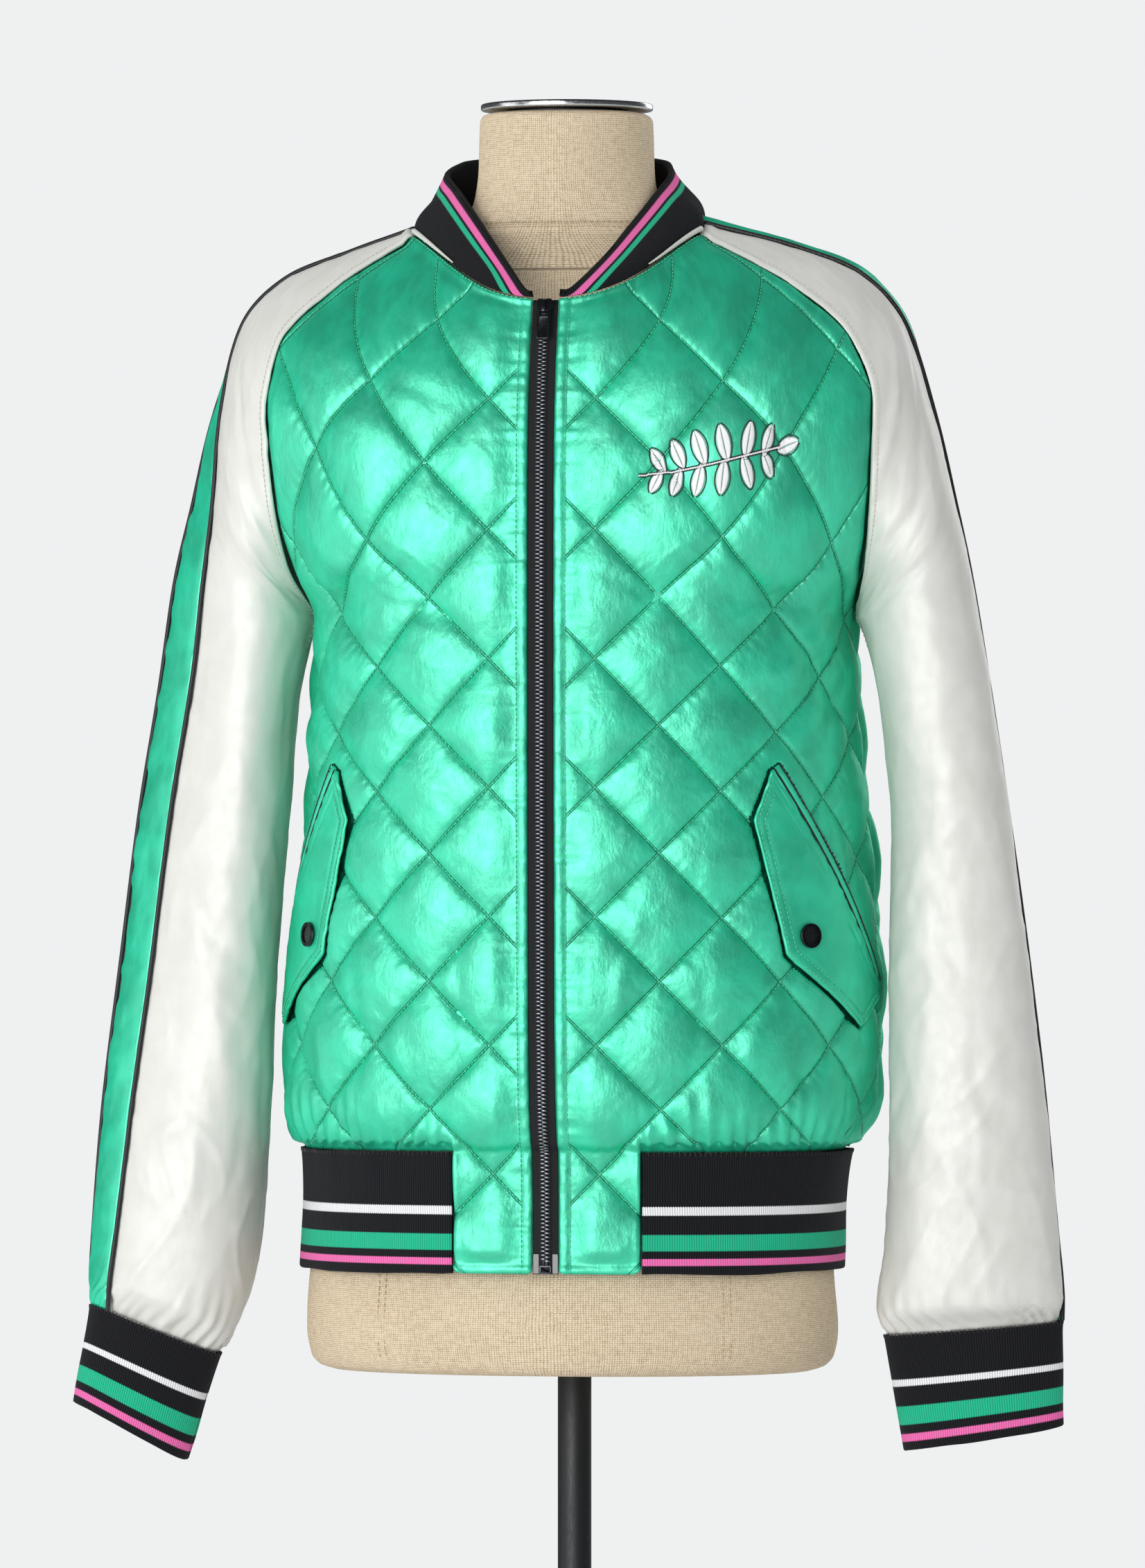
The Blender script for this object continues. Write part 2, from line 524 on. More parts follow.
@dataclass
class Surface:
    """A stretch of cloth, as a grid of points with its flat coordinates in metres."""

    points: np.ndarray
    u: np.ndarray
    v: np.ndarray
    outward: int
    cells: Optional[np.ndarray] = None
    closed: bool = False
    normals: np.ndarray = field(init=False)

    def __post_init__(self) -> None:
        """Allow every cell, and work out the normals."""
        rows, columns = self.points.shape[:2]
        if self.cells is None:
            self.cells = np.ones((rows - 1, columns - 1), dtype=bool)
        self.normals = self.find_normals()

    def find_normals(self) -> np.ndarray:
        """Give each point the direction that faces out of the cloth."""
        points = self.points
        if self.closed:
            points = np.concatenate([points[:, -2:-1], points, points[:, 1:2]], axis=1)
        across = np.gradient(points, axis=1)
        up = np.gradient(points, axis=0)
        normals = np.cross(across, up) * self.outward
        lengths = np.linalg.norm(normals, axis=2)[:, :, None]
        normals = normals / np.maximum(lengths, 1e-12)
        return normals[:, 1:-1] if self.closed else normals

    def raised(self, height: np.ndarray | float) -> "Surface":
        """Move the cloth out along its normals by a height for each point."""
        lift = np.broadcast_to(height, self.u.shape)[:, :, None]
        return Surface(self.points + self.normals * lift, self.u, self.v, self.outward,
                       self.cells, self.closed)

    def thread_line(self, row: int) -> tuple[np.ndarray, np.ndarray]:
        """Give the points and normals of a thread laid along a row, clear of its ends."""
        normals = self.normals[row, 2:-2]
        return self.points[row, 2:-2] + normals * THREAD_LIFT, normals

    def locate(self, u: np.ndarray, v: np.ndarray) -> tuple[np.ndarray, np.ndarray, np.ndarray]:
        """Find places on the cloth by their flat coordinates.

        Args:
            u: places across it.
            v: places up it.

        Returns:
            The points, their normals, and which of them lie on cloth.
        """
        count, width = self.u.shape
        heights = self.v[:, 0]
        order = np.argsort(heights)
        place = np.interp(v, heights[order], np.arange(count)[order])
        inside = (v >= heights.min()) & (v <= heights.max())
        row = np.clip(np.floor(place).astype(int), 0, count - 2)
        share = (place - row)[:, None]
        found = np.zeros((len(u), 3))
        normals = np.zeros((len(u), 3))
        for i, r in enumerate(row):
            for weight, line in ((1.0 - share[i], r), (share[i], r + 1)):
                us = self.u[line]
                step = 1 if us[-1] >= us[0] else -1
                spot = np.interp(u[i], us[::step], np.arange(width)[::step])
                if not min(us[0], us[-1]) - 1e-6 <= u[i] <= max(us[0], us[-1]) + 1e-6:
                    inside[i] = False
                c = min(int(spot), width - 2)
                f = spot - c
                found[i] += weight * ((1 - f) * self.points[line, c] + f * self.points[line, c + 1])
                normals[i] += weight * self.normals[line, c]
                if not self.cells[min(line, count - 2), c]:
                    inside[i] = False
        normals = normals / np.maximum(np.linalg.norm(normals, axis=1)[:, None], 1e-12)
        return found, normals, inside


def make_object(name: str, vertices: np.ndarray, faces: np.ndarray,
                uvs: Optional[np.ndarray] = None) -> bpy.types.Object:
    """Make a smooth-shaded object.

    Args:
        name: the piece's name.
        vertices: its points.
        faces: lists of indices, all of one length.
        uvs: flat coordinates of each point, or nothing.

    Returns:
        The new object, linked to the scene.
    """
    mesh = bpy.data.meshes.new(name)
    faces = np.asarray(faces)
    mesh.vertices.add(len(vertices))
    mesh.vertices.foreach_set("co", np.asarray(vertices, dtype=np.float32).ravel())
    mesh.loops.add(faces.size)
    mesh.loops.foreach_set("vertex_index", faces.astype(np.int32).ravel())
    mesh.polygons.add(len(faces))
    mesh.polygons.foreach_set("loop_start", np.arange(len(faces), dtype=np.int32) * faces.shape[1])
    mesh.update(calc_edges=True)
    mesh.polygons.foreach_set("use_smooth", np.ones(len(faces), dtype=bool))
    if uvs is not None:
        layer = mesh.uv_layers.new(name="cloth")
        layer.data.foreach_set("uv", np.asarray(uvs, dtype=np.float32)[faces.ravel()].ravel())
    mesh.validate()
    piece = bpy.data.objects.new(name, mesh)
    bpy.context.scene.collection.objects.link(piece)
    return piece


def cloth_object(name: str, surface: Surface, turn_in: Sequence[float]) -> bpy.types.Object:
    """Make a panel whose edges turn in, as at a seam or a fold.

    Args:
        name: the piece's name.
        surface: the panel's outer face.
        turn_in: how deep each further ring of its edge lies, in metres.

    Returns:
        The new object.
    """
    count, width = surface.u.shape
    index = np.arange(count * width).reshape(count, width)
    rows, columns = np.nonzero(surface.cells)
    after = columns + 1
    if surface.closed:
        after = np.where(after == width - 1, 0, after)
    faces = np.stack([index[rows, columns], index[rows, after], index[rows + 1, after],
                      index[rows + 1, columns]], axis=1)
    if surface.outward < 0:
        faces = faces[:, ::-1]
    points = surface.points.reshape(-1, 3)
    normals = surface.normals.reshape(-1, 3)
    uvs = np.stack([surface.u.ravel(), surface.v.ravel()], axis=1)
    edges = np.concatenate([faces[:, [k, (k + 1) % 4]] for k in range(4)])
    code = np.sort(edges, axis=1)
    code = code[:, 0].astype(np.int64) * points.shape[0] + code[:, 1]
    _, first, counts = np.unique(code, return_index=True, return_counts=True)
    border = edges[first[counts == 1]]
    blocks, all_points, all_uvs, ring = [faces], [points], [uvs], border
    corners = np.unique(border)
    lookup = np.zeros(points.shape[0], dtype=np.int64)
    start = points.shape[0]
    for depth in turn_in:
        lookup[corners] = start + np.arange(len(corners))
        all_points.append(points[corners] - normals[corners] * depth)
        all_uvs.append(uvs[corners])
        fresh = lookup[border]
        blocks.append(np.stack([ring[:, 1], ring[:, 0], fresh[:, 0], fresh[:, 1]], axis=1))
        ring, start = fresh, start + len(corners)
    points, uvs, faces = np.concatenate(all_points), np.concatenate(all_uvs), np.concatenate(blocks)
    used, faces = np.unique(faces, return_inverse=True)
    return make_object(name, points[used], faces.reshape(-1, 4), uvs[used])


def join_copies(name: str, template: np.ndarray, faces: np.ndarray, centres: np.ndarray,
                frames: np.ndarray) -> Optional[bpy.types.Object]:
    """Set many copies of one small shape, joined as one mesh.

    Args:
        name: the piece's name.
        template: the small shape's points.
        faces: its faces.
        centres: where each copy goes.
        frames: three directions for each copy, already scaled.

    Returns:
        The new object, or nothing where there are no copies.
    """
    if len(centres) == 0:
        return None
    points = centres[:, None, :] + np.einsum("pk,nkj->npj", template, frames)
    blocks = faces[None] + (np.arange(len(centres)) * len(template))[:, None, None]
    return make_object(name, points.reshape(-1, 3), blocks.reshape(-1, faces.shape[1]))


STITCH_POINTS = np.array([[-0.5, 0, 0], [-0.28, 0.5, 0.1], [-0.28, 0, 0.62], [-0.28, -0.5, 0.1],
                          [0.28, 0.5, 0.1], [0.28, 0, 0.62], [0.28, -0.5, 0.1], [0.5, 0, 0]])
STITCH_FACES = np.array([[0, 2, 1], [0, 3, 2], [0, 1, 3], [1, 2, 5], [1, 5, 4], [2, 3, 6],
                         [2, 6, 5], [3, 1, 4], [3, 4, 6], [4, 5, 7], [5, 6, 7], [6, 4, 7]])


@dataclass(frozen=True)
class Stitch:
    """A kind of stitch: its length, the gap to the next one and the thread's width."""

    length: float = 0.0026
    gap: float = 0.0007
    width: float = 0.00085


EDGE_STITCH = Stitch()
BACK_STITCH = Stitch(0.0028, 0.0008)
RAGLAN_STITCH = Stitch(0.0027, width=0.00075)
FLAP_STITCH = Stitch(width=0.00080)
FORM_STITCH = Stitch(0.0030, 0.0010, 0.0006)
SPRIG_EDGE_STITCH = Stitch(0.0017, -0.0003, 0.00090)
STEM_STITCH = Stitch(0.0020, -0.0004, 0.0013)


def stitches(name: str, lines: Sequence[tuple[np.ndarray, np.ndarray]], stitch: Stitch
             ) -> Optional[bpy.types.Object]:
    """Sew lines of thread onto a cloth.

    Args:
        name: the piece's name.
        lines: points and normals along each line.
        stitch: the kind of stitch.

    Returns:
        All the stitches as one object, or nothing where there are no lines.
    """
    length, width = stitch.length, stitch.width
    centres, frames = [], []
    for points, normals in lines:
        if len(points) < 2:
            continue
        along = run_lengths(points)
        spots = np.arange(0.5 * length, along[-1] - 0.4 * length, length + stitch.gap)
        if len(spots) == 0:
            continue
        middle = points_at(points, spots)
        ahead = points_at(points, spots + 0.5 * length) - points_at(points, spots - 0.5 * length)
        normal = np.stack([np.interp(spots, along, normals[:, k]) for k in range(3)], axis=1)
        ahead /= np.maximum(np.linalg.norm(ahead, axis=1)[:, None], 1e-9)
        side = np.cross(normal, ahead)
        side /= np.maximum(np.linalg.norm(side, axis=1)[:, None], 1e-9)
        normal = np.cross(ahead, side)
        centres.append(middle)
        frames.append(np.stack([ahead * length, side * width, normal * width], axis=1))
    if not centres:
        return None
    return join_copies(name, STITCH_POINTS, STITCH_FACES, np.concatenate(centres),
                       np.concatenate(frames))


def tube_object(name: str, centres: np.ndarray, radii: np.ndarray | float, sides: int,
                guide: Sequence[float] = (0.0, 1.0, 0.0)) -> bpy.types.Object:
    """Make a round bar along a line, with closed round ends.

    Args:
        name: the piece's name.
        centres: the line's points.
        radii: its radius, or one for each point.
        sides: how many points go round it.
        guide: a direction that the line never takes.

    Returns:
        The new object, with the length and the way round as its flat coordinates.
    """
    radii = np.broadcast_to(radii, len(centres)).astype(float)
    tangents = np.gradient(centres, axis=0)
    tangents /= np.linalg.norm(tangents, axis=1)[:, None]
    across = np.cross(tangents, np.array(guide, dtype=float))
    across /= np.linalg.norm(across, axis=1)[:, None]
    other = np.cross(tangents, across)
    caps = ((-1.0, 0.05), (-0.75, 0.66), (-0.3, 0.95))
    lines = [(centres[0] + tangents[0] * s * radii[0], across[0], other[0], radii[0] * r)
             for s, r in caps]
    lines += list(zip(centres, across, other, radii))
    lines += [(centres[-1] - tangents[-1] * s * radii[-1], across[-1], other[-1], radii[-1] * r)
              for s, r in caps[::-1]]
    angles = 2.0 * np.pi * np.arange(sides) / sides
    rings = np.array([c + r * (np.cos(angles)[:, None] * a + np.sin(angles)[:, None] * o)
                      for c, a, o, r in lines])
    count = len(rings)
    index = np.arange(count * sides).reshape(count, sides)
    after = np.roll(index, -1, axis=1)
    faces = np.stack([index[:-1], after[:-1], after[1:], index[1:]], axis=2).reshape(-1, 4)
    lengths = run_lengths(np.array([line[0] for line in lines]))
    uvs = np.stack(np.broadcast_arrays(lengths[:, None], angles[None] * radii.mean()), axis=2)
    return make_object(name, rings.reshape(-1, 3), faces[:, ::-1], uvs.reshape(-1, 2))


Value = "Shade | float"


class Shade:
    """A shader value, which adds, multiplies and compares like a number."""

    def __init__(self, maker: "Finisher", socket: bpy.types.NodeSocket) -> None:
        """Wrap one socket of a finish."""
        self.maker = maker
        self.socket = socket

    def step(self, operation: str, *values: Value) -> "Shade":
        """Add one Math node, with these values in their order."""
        node = self.maker.node("ShaderNodeMath", {"operation": operation},
                               dict(enumerate(values)))
        return Shade(self.maker, node.outputs[0])

    def __add__(self, other: Value) -> "Shade":
        """Add."""
        return self.step("ADD", self, other)

    def __sub__(self, other: Value) -> "Shade":
        """Take away."""
        return self.step("SUBTRACT", self, other)

    def __rsub__(self, other: Value) -> "Shade":
        """Take this away from a number."""
        return self.step("SUBTRACT", other, self)

    def __mul__(self, other: Value) -> "Shade":
        """Multiply."""
        return self.step("MULTIPLY", self, other)

    def __truediv__(self, other: Value) -> "Shade":
        """Divide."""
        return self.step("DIVIDE", self, other)

    def __gt__(self, other: Value) -> "Shade":
        """Give 1 where this is the greater."""
        return self.step("GREATER_THAN", self, other)

    __radd__ = __add__

    def wave(self, pitch: float) -> "Shade":
        """Give a sine with one full wave for each pitch."""
        return self.step("SINE", self * (2.0 * math.pi / pitch))

    def bump(self, pitch: float) -> "Shade":
        """Give one round ridge, from 0 to 1, for each pitch."""
        return self.step("ABSOLUTE", self.step("SINE", self * (math.pi / pitch)))

    def floor(self) -> "Shade":
        """Round down."""
        return self.step("FLOOR", self)

    def fraction(self) -> "Shade":
        """Keep what follows the point."""
        return self.step("FRACT", self)

    def between(self, low: float, high: float, soft: float) -> "Shade":
        """Give 1 between two values, with soft edges."""
        return self.rise(low - soft, low + soft) * (1.0 - self.rise(high - soft, high + soft))

    def rise(self, low: float, high: float, start: float = 0.0, end: float = 1.0) -> "Shade":
        """Go smoothly from start at low to end at high."""
        node = self.maker.node("ShaderNodeMapRange", {"interpolation_type": "SMOOTHSTEP"},
                               {"Value": self, "From Min": low, "From Max": high,
                                "To Min": start, "To Max": end})
        return Shade(self.maker, node.outputs[0])


def linear(red: int, green: int, blue: int) -> tuple[float, float, float, float]:
    """Turn a colour as seen on a screen, from 0 to 255, into a shader's colour."""
    parts = [value / 255.0 for value in (red, green, blue)]
    out = [p / 12.92 if p <= 0.04045 else ((p + 0.055) / 1.055) ** 2.4 for p in parts]
    return out[0], out[1], out[2], 1.0


class Finisher:
    """Builds one material out of nodes."""

    def __init__(self, name: str) -> None:
        """Start with an empty Principled shader."""
        self.material = bpy.data.materials.new(name)
        self.material.use_nodes = True
        self.tree = self.material.node_tree
        self.shader = self.tree.nodes["Principled BSDF"]

    def node(self, kind: str, settings: dict, sockets: dict) -> bpy.types.Node:
        """Add any node.

        Args:
            kind: the node's type.
            settings: its properties, which are set first.
            sockets: what goes into its inputs, by name or number.

        Returns:
            The new node.
        """
        node = self.tree.nodes.new(kind)
        for key, value in settings.items():
            setattr(node, key, value)
        for key, value in sockets.items():
            self.fill(node.inputs[key], value)
        return node

    def fill(self, socket: bpy.types.NodeSocket, value: object) -> None:
        """Link a value to a socket, or write a constant on it."""
        if isinstance(value, Shade):
            value = value.socket
        if isinstance(value, bpy.types.NodeSocket):
            self.tree.links.new(value, socket)
        else:
            socket.default_value = value

    def set(self, **values: object) -> None:
        """Set the shader's inputs, whose names are written with _ for a space."""
        for key, value in values.items():
            self.fill(self.shader.inputs[key.replace("_", " ")], value)

    def flat_place(self) -> tuple[Shade, Shade, bpy.types.NodeSocket]:
        """Give a cloth's own flat coordinates in metres, across it and up it."""
        place = self.node("ShaderNodeUVMap", {"uv_map": "cloth"}, {})
        parts = self.node("ShaderNodeSeparateXYZ", {}, {0: place.outputs[0]})
        return Shade(self, parts.outputs[0]), Shade(self, parts.outputs[1]), place.outputs[0]

    def solid_place(self) -> tuple[list[Shade], bpy.types.NodeSocket]:
        """Give a place in the piece, in metres."""
        place = self.node("ShaderNodeTexCoord", {}, {})
        parts = self.node("ShaderNodeSeparateXYZ", {}, {0: place.outputs["Object"]})
        return [Shade(self, parts.outputs[k]) for k in range(3)], place.outputs["Object"]

    def noise(self, place: bpy.types.NodeSocket, size: float, detail: float = 3.0,
              stretch: Sequence[float] = (1.0, 1.0, 1.0)) -> Shade:
        """Give soft noise from 0 to 1, in lumps of a size in metres."""
        mapped = self.node("ShaderNodeMapping", {}, {"Vector": place, "Scale": stretch})
        noise = self.node("ShaderNodeTexNoise", {"noise_dimensions": "3D"},
                          {"Vector": mapped.outputs[0], "Scale": 1.0 / size, "Detail": detail,
                           "Roughness": 0.55})
        return Shade(self, noise.outputs[0])

    def step_apart(self, place: Shade, pitch: float) -> Shade:
        """Give the distance from the nearest multiple of a pitch."""
        return place.step("PINGPONG", place, pitch / 2.0)

    def mix(self, share: Value, low: object, high: object) -> bpy.types.NodeSocket:
        """Mix two colours."""
        node = self.node("ShaderNodeMix", {"data_type": "RGBA"}, {0: share, 6: low, 7: high})
        return node.outputs[2]

    def relief(self, height: Shade, depth: float, strength: float = 1.0,
               under: Optional[bpy.types.NodeSocket] = None) -> bpy.types.NodeSocket:
        """Turn a height from 0 to 1 into relief of a depth in metres."""
        sockets = {"Strength": strength, "Distance": depth, "Height": height}
        if under is not None:
            sockets["Normal"] = under
        return self.node("ShaderNodeBump", {}, sockets).outputs[0]


Colour = tuple[int, int, int]


MINT_SHINE = (0.25, 1.0, 0.70, 1.0)


@dataclass(frozen=True)
class Satin:
    """Glossy satin: a close weave with long floats, which gives broad coloured highlights.

    Where it is quilted, sewn holds the place across of one crossing, and the place across from
    which the lines show.
    """

    name: str
    colour: Colour
    deep: Colour
    rough: float
    wrinkle: float
    ior: float = 2.4
    level: float = 1.0
    tint: tuple[float, float, float, float] = MINT_SHINE
    float_pitch: float = 0.0009
    groove: Colour = (0, 112, 82)
    sewn: Optional[tuple[float, float]] = None

    def make(self) -> bpy.types.Material:
        """Build the material on the cloth's flat coordinates."""
        f = Finisher(self.name)
        u, v, place = f.flat_place()
        cloud = f.noise(place, 0.030, 3.0)
        crush = f.noise(place, 0.0065, 4.0, (1.0, 0.72, 1.0))
        fine = f.noise(place, 0.0021, 2.0, (1.0, 0.45, 1.0))
        thread = u.bump(self.float_pitch) * 0.5 + v.bump(self.float_pitch * 0.62) * 0.5
        colour = f.mix(cloud.rise(0.36, 0.66), linear(*self.deep), linear(*self.colour))
        open_line = None
        if self.sewn is not None:
            first_u, clear = self.sewn
            x, y = u - first_u, v - QUILT_V
            near = [f.step_apart(way, 2.0 * QUILT_HALF) * math.sqrt(0.5) for way in (x + y, x - y)]
            line = near[0].step("MINIMUM", near[0], near[1])
            open_line = 1.0 - (1.0 - line.rise(0.0002, 0.0012)) * (u.rise(clear, clear + 0.0002))
            colour = f.mix(open_line.rise(0.0, 1.0, 0.40, 1.0), linear(*self.groove), colour)
        rough = self.rough + crush.rise(0.3, 0.7, -0.035, 0.045) + thread * 0.03
        bent = f.noise(place, 0.019, 1.0, (1.0, 0.6, 1.0))
        soft = f.relief(crush, self.wrinkle, 0.55)
        soft = f.relief(bent, 0.0026, 0.55, soft)
        soft = f.relief(fine, self.wrinkle * 0.35, 0.5, soft)
        if open_line is not None:
            soft = f.relief(open_line, 0.0009, 0.8, soft)
        weave = f.relief(thread, 0.00005, 0.35, soft)
        f.set(Base_Color=colour, Roughness=rough, Normal=weave,
              Specular_IOR_Level=self.level, Specular_Tint=self.tint, IOR=self.ior)
        return f.material


@dataclass(frozen=True)
class StripeBand:
    """One coloured course of a rib, between two heights of its flat coordinates."""

    colour: Colour
    low: float
    high: float


@dataclass(frozen=True)
class KnitRib:
    """A close rib of wool and nylon, with zigzag loops between its ridges."""

    name: str
    bands: tuple[StripeBand, ...]
    pitch: float = 0.0016
    course: float = 0.0013
    dark: Colour = (7, 7, 9)
    light: Colour = (31, 32, 36)

    def make(self) -> bpy.types.Material:
        """Build the material on the rib's flat coordinates."""
        f = Finisher(self.name)
        u, v, place = f.flat_place()
        stray = f.noise(place, 0.008, 2.0) * 0.0006
        ridge = (u + stray).bump(self.pitch)
        lean = (u + stray).wave(self.pitch) * (0.30 * self.course)
        loop = (v + lean).bump(self.course)
        fuzz = f.noise(place, 0.0007, 3.0)
        height = ridge * 0.60 + loop * 0.28 + fuzz * 0.12
        shade = height.rise(0.30, 0.88)
        colour = f.mix(shade, linear(*self.dark), linear(*self.light))
        edge = v + lean * 0.55
        for band in self.bands:
            bright = linear(*band.colour)
            shadow = linear(*[int(part * 0.80) for part in band.colour])
            tone = f.mix(shade, shadow, bright)
            colour = f.mix(edge.between(band.low, band.high, 0.00035), colour, tone)
        f.set(Base_Color=colour, Roughness=0.88, Specular_IOR_Level=0.15, Sheen_Weight=0.05,
              Sheen_Roughness=0.5, Sheen_Tint=(0.7, 0.7, 0.75, 1.0),
              Normal=f.relief(height, 0.00055, 0.9))
        return f.material


@dataclass(frozen=True)
class BasketLinen:
    """Coarse linen in a basket weave, with slubs and uneven threads."""

    name: str
    pitch: float = 0.0013
    colour: Colour = (238, 219, 190)
    deep: Colour = (166, 138, 102)

    def make(self) -> bpy.types.Material:
        """Build the material on the form's flat coordinates."""
        f = Finisher(self.name)
        u, v, place = f.flat_place()
        bend = f.noise(place, 0.012, 2.0) * 0.0012
        a, b = u + bend, v + bend * 0.7
        warp, weft = a.bump(self.pitch), b.bump(self.pitch)
        checker = ((a / self.pitch).floor() + (b / self.pitch).floor()) * 0.5
        over = checker.fraction() > 0.25
        height = over * (weft * 0.75 + warp * 0.25) + (1.0 - over) * (warp * 0.75 + weft * 0.25)
        slub = f.noise(place, 0.0016, 2.0, (0.22, 1.0, 1.0)) * over
        slub = slub + f.noise(place, 0.0016, 2.0, (1.0, 0.22, 1.0)) * (1.0 - over)
        patch = f.noise(place, 0.05, 3.0)
        level = height * 0.62 + slub.rise(0.3, 0.7) * 0.30 + patch * 0.16
        colour = f.mix(level.rise(0.12, 0.86), linear(*self.deep), linear(*self.colour))
        f.set(Base_Color=colour, Roughness=0.92, Specular_IOR_Level=0.18, Sheen_Weight=0.12,
              Sheen_Tint=linear(*self.colour),
              Normal=f.relief(height * 0.8 + slub * 0.35, 0.0006, 0.95))
        return f.material


@dataclass(frozen=True)
class Hard:
    """Metal or lacquer: fine scratches, soft dust and edges that are a little worn."""

    name: str
    colour: Colour
    rough: float
    metal: float
    grain: Sequence[float] = (1.0, 1.0, 1.0)
    coat: float = 0.0
    worn: Colour = (120, 122, 126)

    def make(self) -> bpy.types.Material:
        """Build the material on places in the piece."""
        f = Finisher(self.name)
        _, place = f.solid_place()
        brushed = f.noise(place, 0.0009, 3.0, self.grain)
        dust = f.noise(place, 0.035, 4.0)
        scuff = f.noise(place, 0.004, 5.0)
        edge = scuff.rise(0.66, 0.78)
        colour = f.mix(edge * 0.35, linear(*self.colour), linear(*self.worn))
        rough = self.rough + brushed.rise(0.3, 0.7, -0.05, 0.07) + dust.rise(0.4, 0.7, 0.0, 0.08)
        f.set(Base_Color=colour, Roughness=rough, Metallic=self.metal, Coat_Weight=self.coat,
              Coat_Roughness=0.25, Normal=f.relief(brushed, 0.00006, 0.4))
        return f.material


@dataclass(frozen=True)
class Yarn:
    """Sewing thread and cord: two plies that twist round each other."""

    name: str
    colour: Colour
    deep: Colour
    rough: float = 0.5
    pitch: float = 0.0011
    sheen: float = 0.2

    def make(self) -> bpy.types.Material:
        """Build the material on places in the piece."""
        f = Finisher(self.name)
        parts, place = f.solid_place()
        twist = (parts[0] * 0.8 + parts[1] * 0.6 + parts[2] * 1.1).bump(self.pitch)
        stray = f.noise(place, 0.003, 3.0)
        level = twist * 0.7 + stray * 0.4
        colour = f.mix(level.rise(0.15, 0.85), linear(*self.deep), linear(*self.colour))
        f.set(Base_Color=colour, Roughness=self.rough, Sheen_Weight=self.sheen,
              Specular_IOR_Level=0.4, Normal=f.relief(twist, 0.00012, 0.6))
        return f.material


@dataclass(frozen=True)
class WovenTape:
    """A zip's tape, woven in narrow ribs along its length."""

    name: str
    colour: Colour = (8, 8, 10)
    light: Colour = (28, 29, 32)
    pitch: float = 0.0008

    def make(self) -> bpy.types.Material:
        """Build the material on the tape's flat coordinates."""
        f = Finisher(self.name)
        u, v, place = f.flat_place()
        height = u.bump(self.pitch) * 0.6 + (v + u * 0.5).bump(self.pitch * 0.8) * 0.4
        tone = height * 0.8 + f.noise(place, 0.004, 2.0) * 0.3
        colour = f.mix(tone.rise(0.2, 0.95), linear(*self.colour), linear(*self.light))
        f.set(Base_Color=colour, Roughness=0.75, Specular_IOR_Level=0.3,
              Normal=f.relief(height, 0.0002, 0.8))
        return f.material


@dataclass(frozen=True)
class StudioPaper:
    """The plain pale floor and wall."""

    name: str
    level: float

    def make(self) -> bpy.types.Material:
        """Build a matt material that hardly varies."""
        f = Finisher(self.name)
        _, place = f.solid_place()
        tone = f.noise(place, 0.8, 2.0).rise(0.3, 0.7, self.level - 0.004, self.level + 0.004)
        f.set(Base_Color=f.mix(tone, (0.0, 0.0, 0.0, 1.0), (1.0, 1.0, 1.0, 1.0)), Roughness=0.95,
              Specular_IOR_Level=0.1)
        return f.material


WHITE, GREEN, PINK = (252, 252, 253), (40, 196, 150), (255, 120, 190)
HEM_BANDS = (StripeBand(PINK, 0.0065, 0.0118), StripeBand(GREEN, 0.0177, 0.0298),
             StripeBand(WHITE, 0.0430, 0.0481))
CUFF_BANDS = (StripeBand(PINK, 0.0058, 0.0103), StripeBand(GREEN, 0.0156, 0.0262),
              StripeBand(WHITE, 0.0378, 0.0418))


